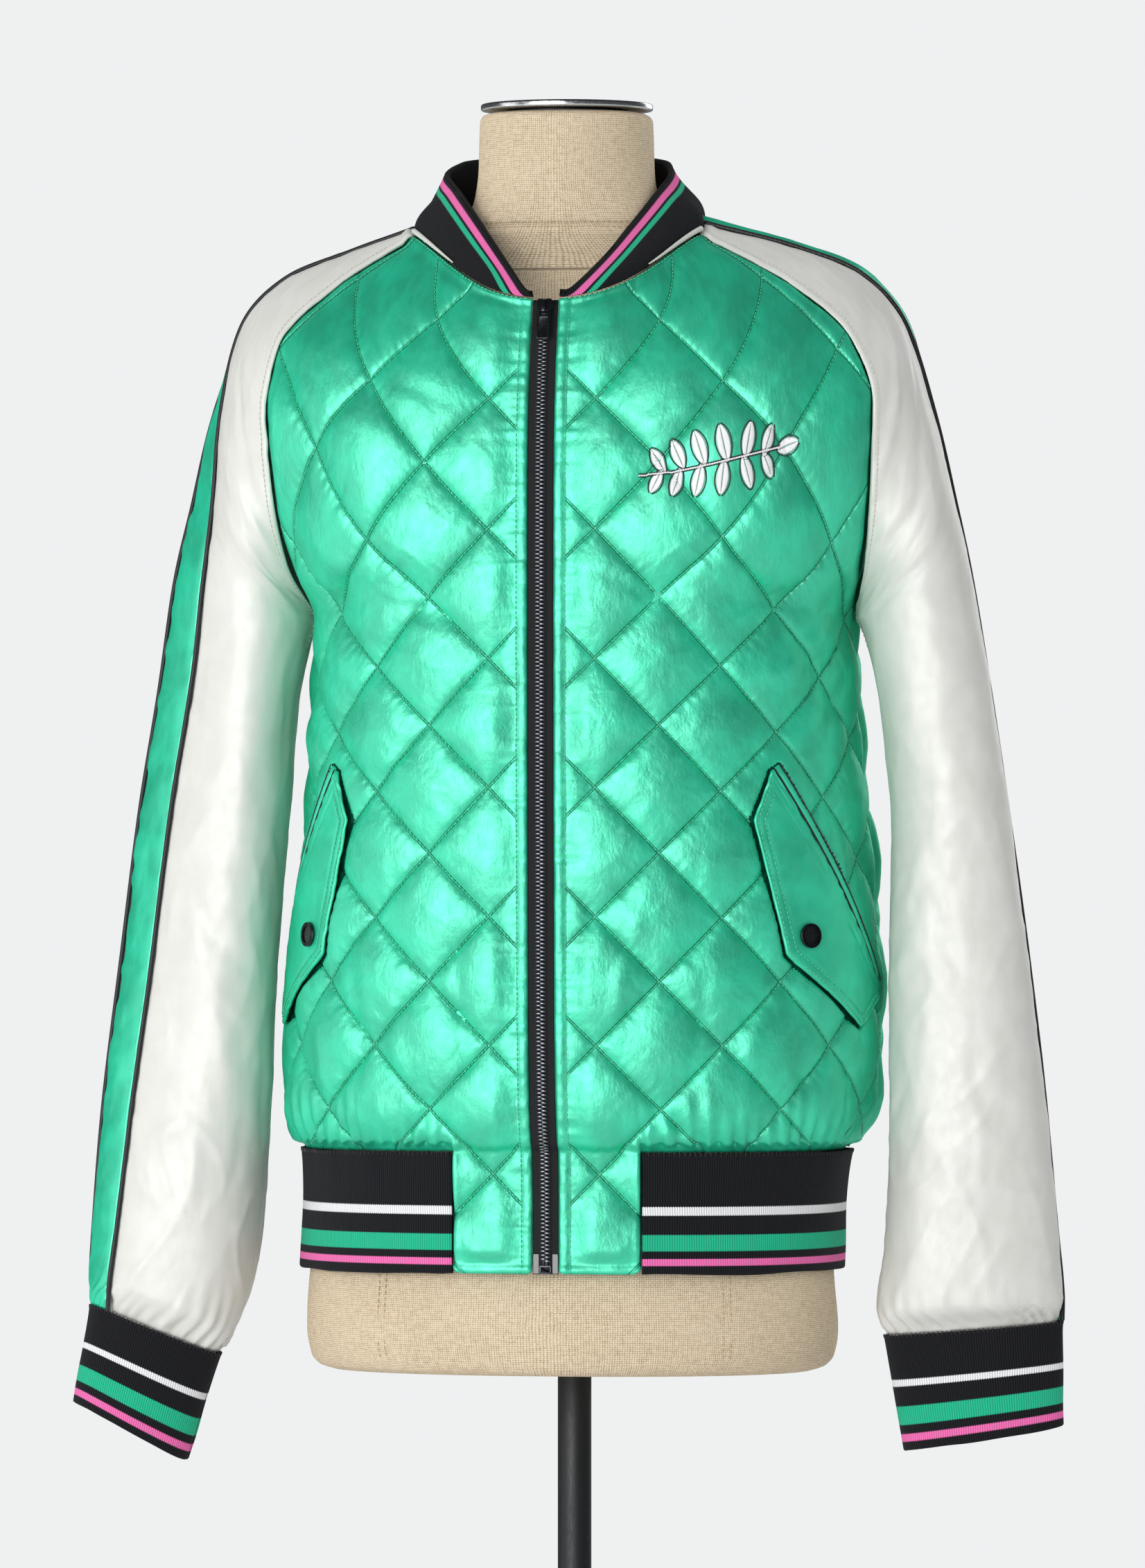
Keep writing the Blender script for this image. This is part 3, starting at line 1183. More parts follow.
class Wardrobe:
    """All the finishes, each made when it is first asked for."""

    kinds = {
        "green": Satin("green_satin_quilted", (0, 192, 148), (0, 164, 124), 0.45, 0.0011,
                       sewn=(QUILT_U, 0.0160)),
        "green_back": Satin("green_satin_back", (0, 198, 153), (0, 176, 134), 0.45, 0.0005,
                            sewn=(0.0, -1.0)),
        "green_deep": Satin("green_satin_shaded", (0, 72, 52), (0, 60, 44), 0.6, 0.0003,
                            ior=1.45, level=0.3),
        "green_band": Satin("green_satin_band", (0, 198, 153), (0, 176, 134), 0.44, 0.0003),
        "ivory": Satin("ivory_satin_sleeve", (219, 218, 212), (214, 213, 206), 0.46, 0.00025,
                       ior=1.75, level=0.6, tint=(1.0, 0.99, 0.96, 1.0)),
        "hem": KnitRib("striped_rib_hem", HEM_BANDS),
        "cuff": KnitRib("striped_rib_cuff", CUFF_BANDS),
        "collar": KnitRib("striped_rib_collar", (StripeBand(PINK, -0.0088, -0.0046),
                                                 StripeBand(GREEN, -0.0140, -0.0106))),
        "piping": Yarn("black_piping_satin", (26, 27, 30), (9, 9, 11), 0.42, 0.0016),
        "tape": WovenTape("zip_tape_black"),
        "metal": Hard("black_plated_metal", (58, 60, 64), 0.26, 0.9, (1.0, 1.0, 0.2)),
        "teeth": Hard("black_zip_teeth", (110, 112, 118), 0.22, 0.9),
        "steel": Hard("bright_disc_steel", (205, 207, 210), 0.20, 1.0, (0.15, 1.0, 1.0),
                      worn=(240, 240, 242)),
        "lacquer": Hard("black_satin_lacquer", (9, 13, 18), 0.5, 0.0, (1.0, 1.0, 0.15)),
        "linen": BasketLinen("basket_linen"),
        "seam": Yarn("linen_thread", (206, 184, 148), (146, 118, 84), 0.8),
        "thread": Yarn("pale_green_thread", (96, 222, 180), (40, 160, 120), 0.5),
        "ivory_thread": Yarn("ivory_thread", (236, 233, 224), (196, 192, 180), 0.5),
        "black_thread": Yarn("black_thread", (30, 31, 34), (10, 10, 12), 0.5),
        "white_thread": Yarn("white_satin_thread", (255, 255, 255), (250, 250, 252), 0.6),
        "film": Hard("clear_tape_end", (30, 32, 35), 0.18, 0.0, coat=0.6),
    }

    def __init__(self) -> None:
        """Start with nothing made."""
        self.made: dict[str, bpy.types.Material] = {}

    def get(self, key: str) -> bpy.types.Material:
        """Give a finish by its key."""
        if key not in self.made:
            self.made[key] = self.kinds[key].make()
        return self.made[key]

    def dress(self, piece: bpy.types.Object, key: str) -> None:
        """Put a finish on the whole of a piece."""
        piece.data.materials.clear()
        piece.data.materials.append(self.get(key))


@dataclass
class Quilting:
    """Squares set on their corners, sewn through satin and wadding."""

    half: float = QUILT_HALF
    first_u: float = QUILT_U
    first_v: float = QUILT_V
    puff: float = 0.0064
    sink: float = 0.52
    pucker: float = 0.0011
    ladder: float = 0.00026
    lump: float = 0.0008
    valley: float = 0.0009
    pucker_pitch: float = 0.0075
    pucker_reach: float = 0.0095
    ladder_pitch: float = 0.0056
    seed: int = 5

    def places(self, u: np.ndarray, v: np.ndarray) -> tuple[np.ndarray, np.ndarray]:
        """Count the squares along both of their sides."""
        x, y = u - self.first_u, v - self.first_v
        return (x + y) / (2.0 * self.half), (x - y) / (2.0 * self.half)

    def height(self, u: np.ndarray, v: np.ndarray) -> np.ndarray:
        """Give the cloth's height over its seams, less what it sinks, in metres."""
        s, t = self.places(u, v)
        noise = Noise(self.seed)
        a, b = np.abs(np.sin(np.pi * s)), np.abs(np.sin(np.pi * t))
        full = 1.0 + 0.17 * noise.table[np.floor(s).astype(int) % 61, np.floor(t).astype(int) % 61]
        puff = self.puff * full * (a * b) ** 0.46
        side = math.sqrt(2.0) * self.half
        near_s = np.abs(s - np.round(s)) * side
        near_t = np.abs(t - np.round(t)) * side
        pulled, tight = [], []
        for own, other, near, shift in ((s, t, near_s, 3.0), (t, s, near_t, 7.0)):
            runs = noise.rough(other * side / self.pucker_pitch + shift * np.round(own),
                               own * side / 0.026, 2)
            pulled.append(runs * np.exp(-near / self.pucker_reach)
                          * np.clip(near / 0.0018, 0.0, 1.0))
            tight.append(np.sin(2.0 * np.pi * other * side / self.ladder_pitch)
                         * np.exp(-near / 0.0034))
        puckers = self.pucker * (pulled[0] * b**0.5 + pulled[1] * a**0.5)
        puckers += self.ladder * (tight[0] + tight[1])
        skew = noise.rough((u * 0.8 + v * 0.6) / 0.048, (v * 0.8 - u * 0.6) / 0.026, 2)
        crush = (1.0 - np.abs(skew)) ** 3 - 0.42
        lumps = self.lump * crush * (a * b) ** 0.7
        valley = np.exp(-np.minimum(near_s, near_t) / 0.0016)
        return puff + puckers + lumps - self.sink * self.puff - self.valley * valley

    def threads(self, cloth: Surface, low_u: float, high_u: float, low_v: float, high_v: float,
                keep: Callable[[np.ndarray, np.ndarray], np.ndarray],
                ) -> list[tuple[np.ndarray, np.ndarray]]:
        """Find the sewn lines on a cloth.

        Args:
            cloth: the finished face of the cloth.
            low_u: the least place across it.
            high_u: the greatest place across it.
            low_v: the lowest place on it.
            high_v: the highest place on it.
            keep: tells which flat places are sewn.

        Returns:
            Points and normals of each line.
        """
        lines = []
        span = int((high_u - low_u + high_v - low_v) / self.half) + 3
        steps = np.arange(0.0, (high_v - low_v) + 2.0 * self.half, 0.0016)
        for way in (1, -1):
            for k in range(-span, span + 1):
                v = low_v + steps
                u = self.first_u + 2.0 * self.half * k - way * (v - self.first_v)
                good = (u > low_u) & (u < high_u) & (v < high_v)
                if good.sum() < 3:
                    continue
                u, v = u[good], v[good]
                points, normals, there = cloth.locate(u, v)
                there &= keep(u, v)
                edges = np.flatnonzero(np.diff(np.concatenate([[0], there.astype(int), [0]])))
                for start, end in zip(edges[::2], edges[1::2]):
                    if end - start > 4:
                        lines.append((points[start:end] + normals[start:end] * THREAD_LIFT,
                                      normals[start:end]))
        return lines


def seam_dip(distance: np.ndarray, depth: float, width: float) -> np.ndarray:
    """Sink the cloth towards a seam, by the distance from it."""
    return -depth * np.exp(-((np.maximum(distance, 0.0) / width) ** 1.3))


def rolled_edge(distance: np.ndarray, width: float, tuck: np.ndarray, height: float,
                uneven: float, beside: float) -> np.ndarray:
    """Roll a cloth's edge, and pucker the cloth beside the roll.

    Args:
        distance: how far each place is from the edge.
        width: the roll's width.
        tuck: the uneven ripples along it, from -1 to 1.
        height: the roll's height.
        uneven: what the ripples add to it.
        beside: how high the ripples stand beside it.

    Returns:
        Heights in metres.
    """
    roll = hump(distance, width) * (height + uneven * tuck)
    return np.where(distance <= width, roll, np.exp(-(distance - width) / 0.008) * beside * tuck)


def side_seams(v: np.ndarray, distance: np.ndarray, noise: Noise) -> np.ndarray:
    """Ripple and sink the quilted cloth along its side and raglan seams."""
    ripple = 0.0010 * tucks(v, noise, 0.010) * np.exp(-distance / 0.012)
    return ripple + seam_dip(distance, 0.0016, 0.005)


def gathers(along: np.ndarray, distance: np.ndarray, noise: Noise, pitch: float, height: float,
            reach: float) -> np.ndarray:
    """Gather the cloth into uneven folds that start at a seam and die out.

    Args:
        along: places along the seam.
        distance: how far each place is from the seam.
        noise: sets the folds' widths and lengths.
        pitch: the usual width of a fold.
        height: how high the folds stand.
        reach: how far they run.

    Returns:
        Heights in metres.
    """
    shift = noise.at(along / (pitch * 3.1), distance / 0.09) * 0.9
    wave = np.sin(2.0 * np.pi * (along / pitch + shift))
    tall = 0.62 + 0.38 * noise.at(along / (pitch * 2.3) + 9.0, distance * 0.0)
    far = reach * (0.75 + 0.45 * noise.at(along / (pitch * 1.6) + 31.0, distance * 0.0))
    small = np.sin(2.0 * np.pi * (along / (pitch * 0.43) + 1.7 * shift)) * 0.28
    small = small * np.exp(-distance / (0.3 * reach))
    fade = np.clip(1.0 - distance / np.maximum(far, 0.004), 0.0, 1.0) ** 1.25
    start = np.clip(distance / 0.004, 0.25, 1.0)
    return height * tall * (wave * 0.75 + small) * fade * start


def tucks(along: np.ndarray, noise: Noise, pitch: float) -> np.ndarray:
    """Give the fine uneven ripples along a sewn edge, from -1 to 1."""
    return noise.at(along / pitch, along * 0.0 + 0.5) * 0.7 + noise.at(along / pitch * 2.1,
                                                                       along * 0.0 + 4.5) * 0.3


def flat_places(piece: bpy.types.Object) -> np.ndarray:
    """Read a panel's flat coordinates, one for each corner of each face."""
    mesh = piece.data
    uv = np.zeros(len(mesh.loops) * 2, dtype=np.float32)
    mesh.uv_layers["cloth"].data.foreach_get("uv", uv)
    return uv.reshape(-1, 2)


def declare_cloth(piece: bpy.types.Object,
                  flat: Optional[tuple[float, float]] = None) -> None:
    """Declare a panel as a sheet, with the flat size of its cut.

    Args:
        piece: the panel, whose flat coordinates are in its UV map.
        flat: the width and length of its cut, where it lies aslant on its coordinates.
    """
    total = sum(polygon.area for polygon in piece.data.polygons)
    width, length = flat or (float(x) for x in np.ptp(flat_places(piece), axis=0))
    scale = math.sqrt(max(1.0, total * 0.98 / (width * length)))
    width, length = max(width * scale, 0.0102), max(length * scale, 0.0102)


@dataclass
class Cloth:
    """What every cloth part of the jacket shares."""

    wardrobe: Wardrobe

    def place(self, piece: bpy.types.Object, finish: str, slot: str, *nodes: str) -> None:
        """Dress a piece, and let it ride on the body in place of its solids."""
        self.wardrobe.dress(piece, finish)
        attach(piece, "body")
        if nodes:
            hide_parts(*nodes)
        LOG.info("%s: %d faces", piece.name, len(piece.data.polygons))

    def sew(self, name: str, lines: Sequence[tuple[np.ndarray, np.ndarray]],
            stitch: Stitch = EDGE_STITCH, finish: str = "thread", slot: str = "green_satin"
            ) -> None:
        """Sew lines of stitches, and dress them."""
        self.place(stitches(name, lines, stitch), finish, slot)


# Broad creases, in millimetres: place across, place up, angle, length, width, height, bend.
# On the left front the centre height is the place up; the right front has its own.
FRONT_CREASES = {
    LEFT: [
        (60, 1050, 78, 120, 7, 1.6, 6), (98, 1010, 82, 90, 6, -1.5, -4),
        (140, 985, 80, 110, 8, 1.9, 5), (178, 1000, 96, 120, 8, -1.7, 6),
        (205, 1090, 84, 150, 9, 1.8, -6), (120, 1215, 28, 110, 8, -1.5, 8),
        (172, 1265, 36, 120, 8, 1.9, -8), (150, 1320, 42, 90, 7, -1.5, 5),
        (72, 1180, 20, 80, 7, 1.2, 5), (205, 1225, 50, 90, 8, -2.0, -6),
        (90, 1395, 14, 80, 7, 1.1, 4), (60, 1290, -22, 70, 7, -1.2, 4),
    ],
    RIGHT: [
        (58, 1030, 84, 130, 7, -1.5, 5), (92, 985, 76, 100, 7, 1.6, -4),
        (135, 1010, 88, 120, 8, -1.6, 5), (165, 980, 78, 90, 7, 1.7, 6),
        (210, 1060, 96, 150, 9, -1.8, 6), (110, 1195, 34, 120, 8, 1.5, -8),
        (165, 1240, 40, 120, 8, -1.8, 6), (150, 1330, 30, 100, 8, 1.6, -6),
        (80, 1275, 18, 90, 7, -1.2, 5), (200, 1190, 52, 110, 8, 1.9, 6),
        (84, 1410, 10, 80, 7, -1.1, 4),
    ],
}


@dataclass
class Front(Cloth):
    """One quilted front, with its zip cover, neck roll and the square in the hem."""

    side: Side = LEFT
    cover: float = 0.0072
    corner: float = 0.0060
    step: float = 0.0015
    outer: int = 128
    quilting: Quilting = field(default_factory=Quilting)

    def skin(self) -> Surface:
        """Lay out the front's rows, from the zip to the side and raglan seams."""
        keys = np.concatenate([np.linspace(0.0, HEM_KEY, 56)[:-1], np.linspace(HEM_KEY, 1.0, 400)])
        inner = int(round((PLACKET_HALF - TAPE_HALF) / self.step))
        points, across, heights = [], [], []
        for key in keys:
            row = body_row(FRONT_ROWS, float(key), FRONT, self.side)
            length = run_lengths(row)[-1]
            start, stop = TAPE_HALF, min(PLACKET_HALF, 0.5 * length)
            if key < HEM_KEY:
                above = (float(key) / 0.100) * 0.036
                stop -= self.rounding(self.corner, above)
                start += self.rounding(0.6 * self.corner, above)
            places = np.concatenate([np.linspace(start, stop, inner + 1),
                                     np.linspace(stop, length, self.outer + 1)[1:]])
            points.append(points_at(row, places))
            across.append(places)
            heights.append(np.full(len(places), centre_height(float(key))))
        surface = Surface(np.array(points), np.array(across), np.array(heights), self.side)
        surface.cells[:55, inner:] = False
        return surface

    def rounding(self, radius: float, above: float) -> float:
        """Give how far a round corner cuts in, at a height above its end."""
        cut = max(0.0, radius - above)
        return radius - math.sqrt(max(radius**2 - cut**2, 0.0))

    def relief(self, skin: Surface) -> np.ndarray:
        """Quilt, gather, roll and crease the front."""
        u, v = skin.u, skin.v
        noise = Noise(31 + self.side)
        bottom, hem = centre_height(0.0), centre_height(HEM_KEY)
        side = u[:, -1:] - u
        neck = run_lengths(skin.points[:, 40])[-1] - run_lengths(skin.points[:, 40])[:, None]
        neck = np.broadcast_to(neck, u.shape)
        above_hem = np.where(u > PLACKET_HALF - 1e-6, v - hem, 1.0)
        calm = window(u, TAPE_HALF + self.cover - 0.002, TAPE_HALF + self.cover + 0.017)
        calm = calm * window(side, 0.0, 0.012) * window(neck, NECK_ROLL, NECK_ROLL + 0.010)
        calm = calm * window(above_hem, 0.0, 0.022) * window(v - bottom, 0.004, 0.016)
        height = self.quilting.height(u, v) * calm + (1.0 - calm) * SEAM_LEVEL
        height += creases(FRONT_CREASES[self.side], u, v) * (HELD + (1.0 - HELD) * calm)
        # the cover along the zip is a narrow roll with fine level puckers, and so is the neck seam
        cover = rolled_edge(u - TAPE_HALF, self.cover, tucks(v, noise, 0.0044), 0.0013, 0.0011,
                            0.0014)
        height += cover * window(neck, 0.0, NECK_ROLL)
        height += rolled_edge(neck, NECK_ROLL, tucks(u, noise, 0.0062), 0.0022, 0.0009, 0.0016)
        # gathers over the hem rib, and ripples down the side and raglan seams
        folds = gathers(u, np.maximum(above_hem, 0.0), noise, 0.0125, 0.0030, 0.052)
        height += np.where(above_hem < 0.5, folds, 0.0)
        height += seam_dip(above_hem, 0.0022, 0.006) + side_seams(v, side, noise)
        # the little square's lower edge and outer side
        outer = np.where(v < hem, PLACKET_HALF - u, 1.0)
        for edge, rise in ((v - bottom, 0.0010), (outer, 0.0008)):
            height += np.where(edge < self.corner, hump(edge, self.corner, 1.0) * rise, 0.0)
        return height

    def shade_under_pocket(self, panel: bpy.types.Object) -> None:
        """Give the cloth that the flap and welt cover its own deep finish."""
        panel.data.materials.append(self.wardrobe.get("green_deep"))
        u, v = flat_places(panel).reshape(-1, 4, 2).mean(axis=1).T
        under = np.maximum(inside_flap(u, v), inside_welt(u, v)) > -0.0012
        panel.data.polygons.foreach_set("material_index", under.astype(np.int32))

    def build(self) -> Surface:
        """Make the front and its thread.

        Returns:
            The front's finished face, for what lies on it.
        """
        skin = self.skin()
        height = self.relief(skin)
        covered = np.maximum(window(inside_flap(skin.u, skin.v), -0.0022, 0.0004),
                             window(inside_welt(skin.u, skin.v), -0.0022, 0.0004))
        height = height * (1.0 - covered) + covered * np.minimum(height, -0.0014)
        face = skin.raised(height)
        word = self.side.word
        panel = cloth_object("front_panel_" + word, face, QUILT_TURN)
        self.place(panel, "green", "green_satin", "front_" + word)
        self.shade_under_pocket(panel)
        declare_cloth(panel)
        hem = centre_height(HEM_KEY)
        start = TAPE_HALF + self.cover

        def keep(u: np.ndarray, v: np.ndarray) -> np.ndarray:
            """Leave out the zip's cover, the flap and what is below the hem seam."""
            return (u > start + 0.001) & ((v > hem + 0.003) | (u < PLACKET_HALF - 0.004)) & (
                v > 0.8545) & (inside_flap(u, v) < 0.0)

        self.sew("quilting_thread_" + word,
                 self.quilting.threads(face, start, 0.30, 0.851, 1.53, keep))
        rows = np.arange(3, face.u.shape[0] - 8)
        spots = face.locate(np.full(len(rows), start), face.v[rows, 0])
        cover = (spots[0] + spots[1] * THREAD_LIFT, spots[1])
        rise = run_lengths(face.points[:, 40])
        row = int(np.searchsorted(rise, rise[-1] - NECK_ROLL))
        self.sew("edge_thread_" + word, [cover, face.thread_line(row)])
        return face


BACK_CREASES = [
    (-150, 1010, 80, 130, 9, 1.8, 6), (-90, 985, 94, 110, 8, -1.6, -5),
    (-30, 1000, 86, 90, 8, 1.3, 4), (45, 990, 92, 120, 8, -1.5, 5),
    (110, 1010, 84, 120, 9, 1.7, -6), (165, 1020, 96, 110, 9, -1.7, 5),
    (-120, 1180, 152, 130, 10, 1.8, 8), (-60, 1260, 160, 110, 9, -1.4, -6),
    (70, 1240, 22, 130, 9, 1.6, 7), (130, 1170, 30, 120, 10, -1.8, -7),
    (-95, 1380, 8, 140, 10, 1.3, 6), (60, 1420, 172, 130, 10, -1.3, 6),
    (0, 1120, 90, 120, 9, 1.2, 5),
]


@dataclass
class BackPanel(Cloth):
    """The quilted back, in one piece from side to side."""

    rows: int = 300
    half_columns: int = 107
    quilting: Quilting = field(default_factory=lambda: Quilting(first_u=0.0, seed=11))

    def skin(self) -> Surface:
        """Lay out the back's rows, from the wearer's right to the left."""
        points, across, heights = [], [], []
        for key in np.linspace(HEM_KEY, 1.0, self.rows):
            halves, lengths = [], []
            for side in (RIGHT, LEFT):
                row = body_row(BACK_ROWS, float(key), BACK, side)
                places = np.linspace(0.0, run_lengths(row)[-1], self.half_columns)
                halves.append(points_at(row, places))
                lengths.append(places)
            points.append(np.concatenate([halves[0][::-1], halves[1][1:]]))
            across.append(np.concatenate([-lengths[0][::-1], lengths[1][1:]]))
            height = read_row(BACK_ROWS, BODY_COLUMNS, float(key))["centre_z"]
            heights.append(np.full(len(across[-1]), height))
        return Surface(np.array(points), np.array(across), np.array(heights), -1)

    def build(self) -> None:
        """Make the back and its thread."""
        skin = self.skin()
        u, v = skin.u, skin.v
        noise = Noise(77)
        side = np.minimum(u - u[:, :1], u[:, -1:] - u)
        rise = run_lengths(skin.points[:, self.half_columns - 1])
        neck = np.broadcast_to((rise[-1] - rise)[:, None], u.shape)
        above = np.broadcast_to(rise[:, None], u.shape)
        calm = window(side, 0.0, 0.012) * window(neck, NECK_ROLL, NECK_ROLL + 0.010)
        calm = calm * window(above, 0.0, 0.022)
        height = self.quilting.height(u, v) * calm + (1.0 - calm) * SEAM_LEVEL
        height += creases(BACK_CREASES, u, v) * (HELD + (1.0 - HELD) * calm)
        height += rolled_edge(neck, NECK_ROLL, tucks(u, noise, 0.0062), 0.0022, 0.0005, 0.0)
        height += gathers(u, above, noise, 0.0130, 0.0030, 0.052) + seam_dip(above, 0.0022, 0.006)
        height += side_seams(v, side, noise)
        face = skin.raised(height)
        panel = cloth_object("back_panel", face, QUILT_TURN)
        self.place(panel, "green_back", "green_satin", "back")
        declare_cloth(panel)

        def keep(_: np.ndarray, heights: np.ndarray) -> np.ndarray:
            """Keep what is clear of the hem seam and the neck seam."""
            return (heights > v.min() + 0.004) & (heights < v.max() - 0.007)

        self.sew("quilting_thread_back",
                 self.quilting.threads(face, -0.31, 0.31, 0.925, 1.54, keep), BACK_STITCH)
        row = int(np.searchsorted(rise, rise[-1] - NECK_ROLL))
        self.sew("edge_thread_back", [face.thread_line(row)])


# Creases of the sleeves, in millimetres: u from the front seam round to the back one, v from
# the neck down (below zero), angle, length, width, height, bend.
SLEEVE_CREASES = {
    LEFT: [
        (30, -175, 62, 120, 8, 2.0, 8), (58, -215, 70, 130, 9, -2.2, 8),
        (20, -260, 40, 80, 8, 2.2, 6), (45, -330, 58, 90, 8, -1.8, -6),
        (30, -400, 78, 120, 8, 1.6, 6), (70, -450, 84, 150, 9, -1.6, 8),
        (42, -520, 64, 90, 7, 1.8, -6), (75, -560, 110, 80, 7, -1.9, 6),
        (30, -585, 30, 70, 7, 1.9, 5), (60, -620, 74, 80, 7, 1.8, 5),
        (92, -650, 100, 70, 7, -2.0, 5), (28, -655, 60, 60, 6, -1.8, -5),
        (55, -690, 84, 60, 6, 2.0, 4), (84, -700, 90, 50, 6, 1.8, -4),
        (18, -700, 96, 50, 6, 1.8, 4), (170, -240, 110, 140, 10, -2.2, 8),
        (200, -320, 96, 140, 10, 1.9, -8), (160, -420, 100, 120, 9, -1.7, 6),
        (190, -520, 70, 110, 9, 2.0, 6), (165, -600, 100, 90, 8, -2.0, -5),
        (195, -660, 84, 80, 8, 2.1, 5), (150, -680, 95, 60, 7, 1.9, 4),
    ],
    RIGHT: [
        (35, -180, 66, 120, 8, -2.0, 8), (20, -240, 48, 90, 8, 2.2, 6),
        (48, -300, 72, 140, 8, 1.8, 8), (30, -380, 84, 130, 8, -1.7, 6),
        (52, -440, 90, 130, 8, 1.7, -6), (24, -500, 60, 90, 7, 2.0, 6),
        (56, -545, 44, 80, 7, -2.2, -6), (30, -590, 112, 80, 7, 2.0, 5),
        (58, -620, 76, 80, 7, 2.2, 5), (18, -640, 80, 70, 7, -2.0, 4),
        (40, -670, 94, 60, 6, -2.0, 4), (64, -690, 84, 60, 6, 2.0, -4),
        (170, -230, 112, 140, 10, 2.2, 8), (140, -330, 96, 140, 10, -1.9, -8),
        (190, -430, 84, 140, 9, 1.8, 6), (150, -520, 108, 110, 9, -2.0, 6),
        (185, -590, 90, 90, 8, 2.1, -5), (150, -650, 76, 80, 8, -2.0, 5),
        (200, -680, 95, 60, 7, 2.0, 4),
    ],
}


@dataclass
class Sleeve(Cloth):
    """A raglan sleeve: an ivory front and back, the green band and its two pipings."""

    side: Side = LEFT
    row_count: int = 268
    front_columns: int = 60
    back_columns: int = 66
    band_columns: int = 21
    stitch_in: float = 0.0048
    sewn_share: float = 0.36
    rows: list[np.ndarray] = field(init=False)
    middle: np.ndarray = field(init=False)
    down: np.ndarray = field(init=False)

    def __post_init__(self) -> None:
        """Draw the rows, and find the middle of the band on each and how far down it is."""
        found = [sleeve_row(float(key), self.side)
                 for key in np.linspace(0.0, CUFF_KEY, self.row_count)]
        self.rows = [row for row, _ in found]
        self.middle = np.array([middle for _, middle in found])
        self.down = run_lengths(self.line(0.0))

    def line(self, offset: float) -> np.ndarray:
        """Give the line down the sleeve at a distance from the middle of its band."""
        return np.array([points_at(row, [middle + offset])[0]
                         for row, middle in zip(self.rows, self.middle)])

    def strip(self, start: np.ndarray, stop: np.ndarray, columns: int) -> Surface:
        """Lay out a strip of the sleeve between two places on each row."""
        across = np.array([np.linspace(low, high, columns) for low, high in zip(start, stop)])
        points = np.array([points_at(row, places) for row, places in zip(self.rows, across)])
        return Surface(points, across, spread(-self.down[:, None], across.shape), -self.side)

    def relief(self, face: Surface, seam: np.ndarray, outer: np.ndarray) -> np.ndarray:
        """Crease and gather an ivory panel.

        Args:
            face: the panel's skin.
            seam: each place's distance from the front or back seam.
            outer: each place's distance from the piping.

        Returns:
            Heights in metres.
        """
        u, v = face.u, face.v
        noise = Noise(51 + self.side)
        below = np.broadcast_to((self.down[-1] - self.down)[:, None], u.shape)
        top = np.broadcast_to(self.down[:, None], u.shape)
        free = window(seam, 0.0, 0.018) * window(outer, 0.0, 0.012)
        height = creases(SLEEVE_CREASES[self.side], u, v) * (0.15 + 0.45 * free)
        broad = noise.rough(u / 0.062, v / 0.190, 2) * 0.0022
        folded = 1.0 - np.abs(noise.rough((u + 0.30 * v) / 0.040, (v - 0.25 * u) / 0.130, 2))
        folded = (folded ** 3 - 0.40) * 0.0012
        lower = window(top, 0.10, 0.62)
        crumple = 1.0 - np.abs(noise.rough((u - 0.5 * v) / 0.034, (v + 0.4 * u) / 0.060, 2))
        crumple = (crumple ** 5 - 0.22) * 0.0009 * lower
        height += (broad + folded * (0.35 + 0.65 * lower) + crumple) * (0.15 + 0.85 * free)
        height += gathers(u, below, noise, 0.0105, 0.0032, 0.050) + seam_dip(below, 0.0030, 0.007)
        ripple = tucks(v, noise, 0.0085)
        height += 0.0011 * ripple * np.exp(-seam / 0.010) + seam_dip(seam, 0.0012, 0.003)
        height += np.where(seam < self.stitch_in, 0.0006 * hump(seam, self.stitch_in, 1.0), 0.0)
        height += 0.0006 * tucks(v + 0.7, noise, 0.0100) * np.exp(-outer / 0.010)
        height += np.where(top <= NECK_ROLL, hump(top, NECK_ROLL) * 0.0020, 0.0)
        return height + seam_dip(outer, 0.0009, 0.0025)

    def build(self) -> None:
        """Make the sleeve's cloth, its band, its pipings and its topstitching."""
        near_edge, far_edge = self.middle - SLEEVE_EDGE, self.middle + SLEEVE_EDGE
        total = np.array([run_lengths(row)[-1] for row in self.rows])
        zero = np.zeros(len(self.rows))
        front = self.strip(zero, near_edge, self.front_columns)
        front = front.raised(self.relief(front, front.u, near_edge[:, None] - front.u))
        back = self.strip(far_edge, total, self.back_columns)
        back = back.raised(self.relief(back, total[:, None] - back.u, back.u - far_edge[:, None]))
        for place, face in (("front_", front), ("back_", back)):
            panel = cloth_object("sleeve_panel_" + place + self.side.word, face, SEAM_TURN)
            self.place(panel, "ivory", "ivory_satin", "sleeve_" + place + self.side.word)
            declare_cloth(panel)
        self.build_band()
        self.build_pipings()
        lines = []
        for face, edge in ((front, zero + self.stitch_in), (back, total - self.stitch_in)):
            rows = np.arange(4, int(len(self.rows) * self.sewn_share))
            points, normals, _ = face.locate(edge[rows], face.v[rows, 0])
            lines.append((points + normals * 0.0002, normals))
        self.sew("raglan_thread_" + self.side.word, lines, RAGLAN_STITCH, "ivory_thread",
                 "ivory_satin")

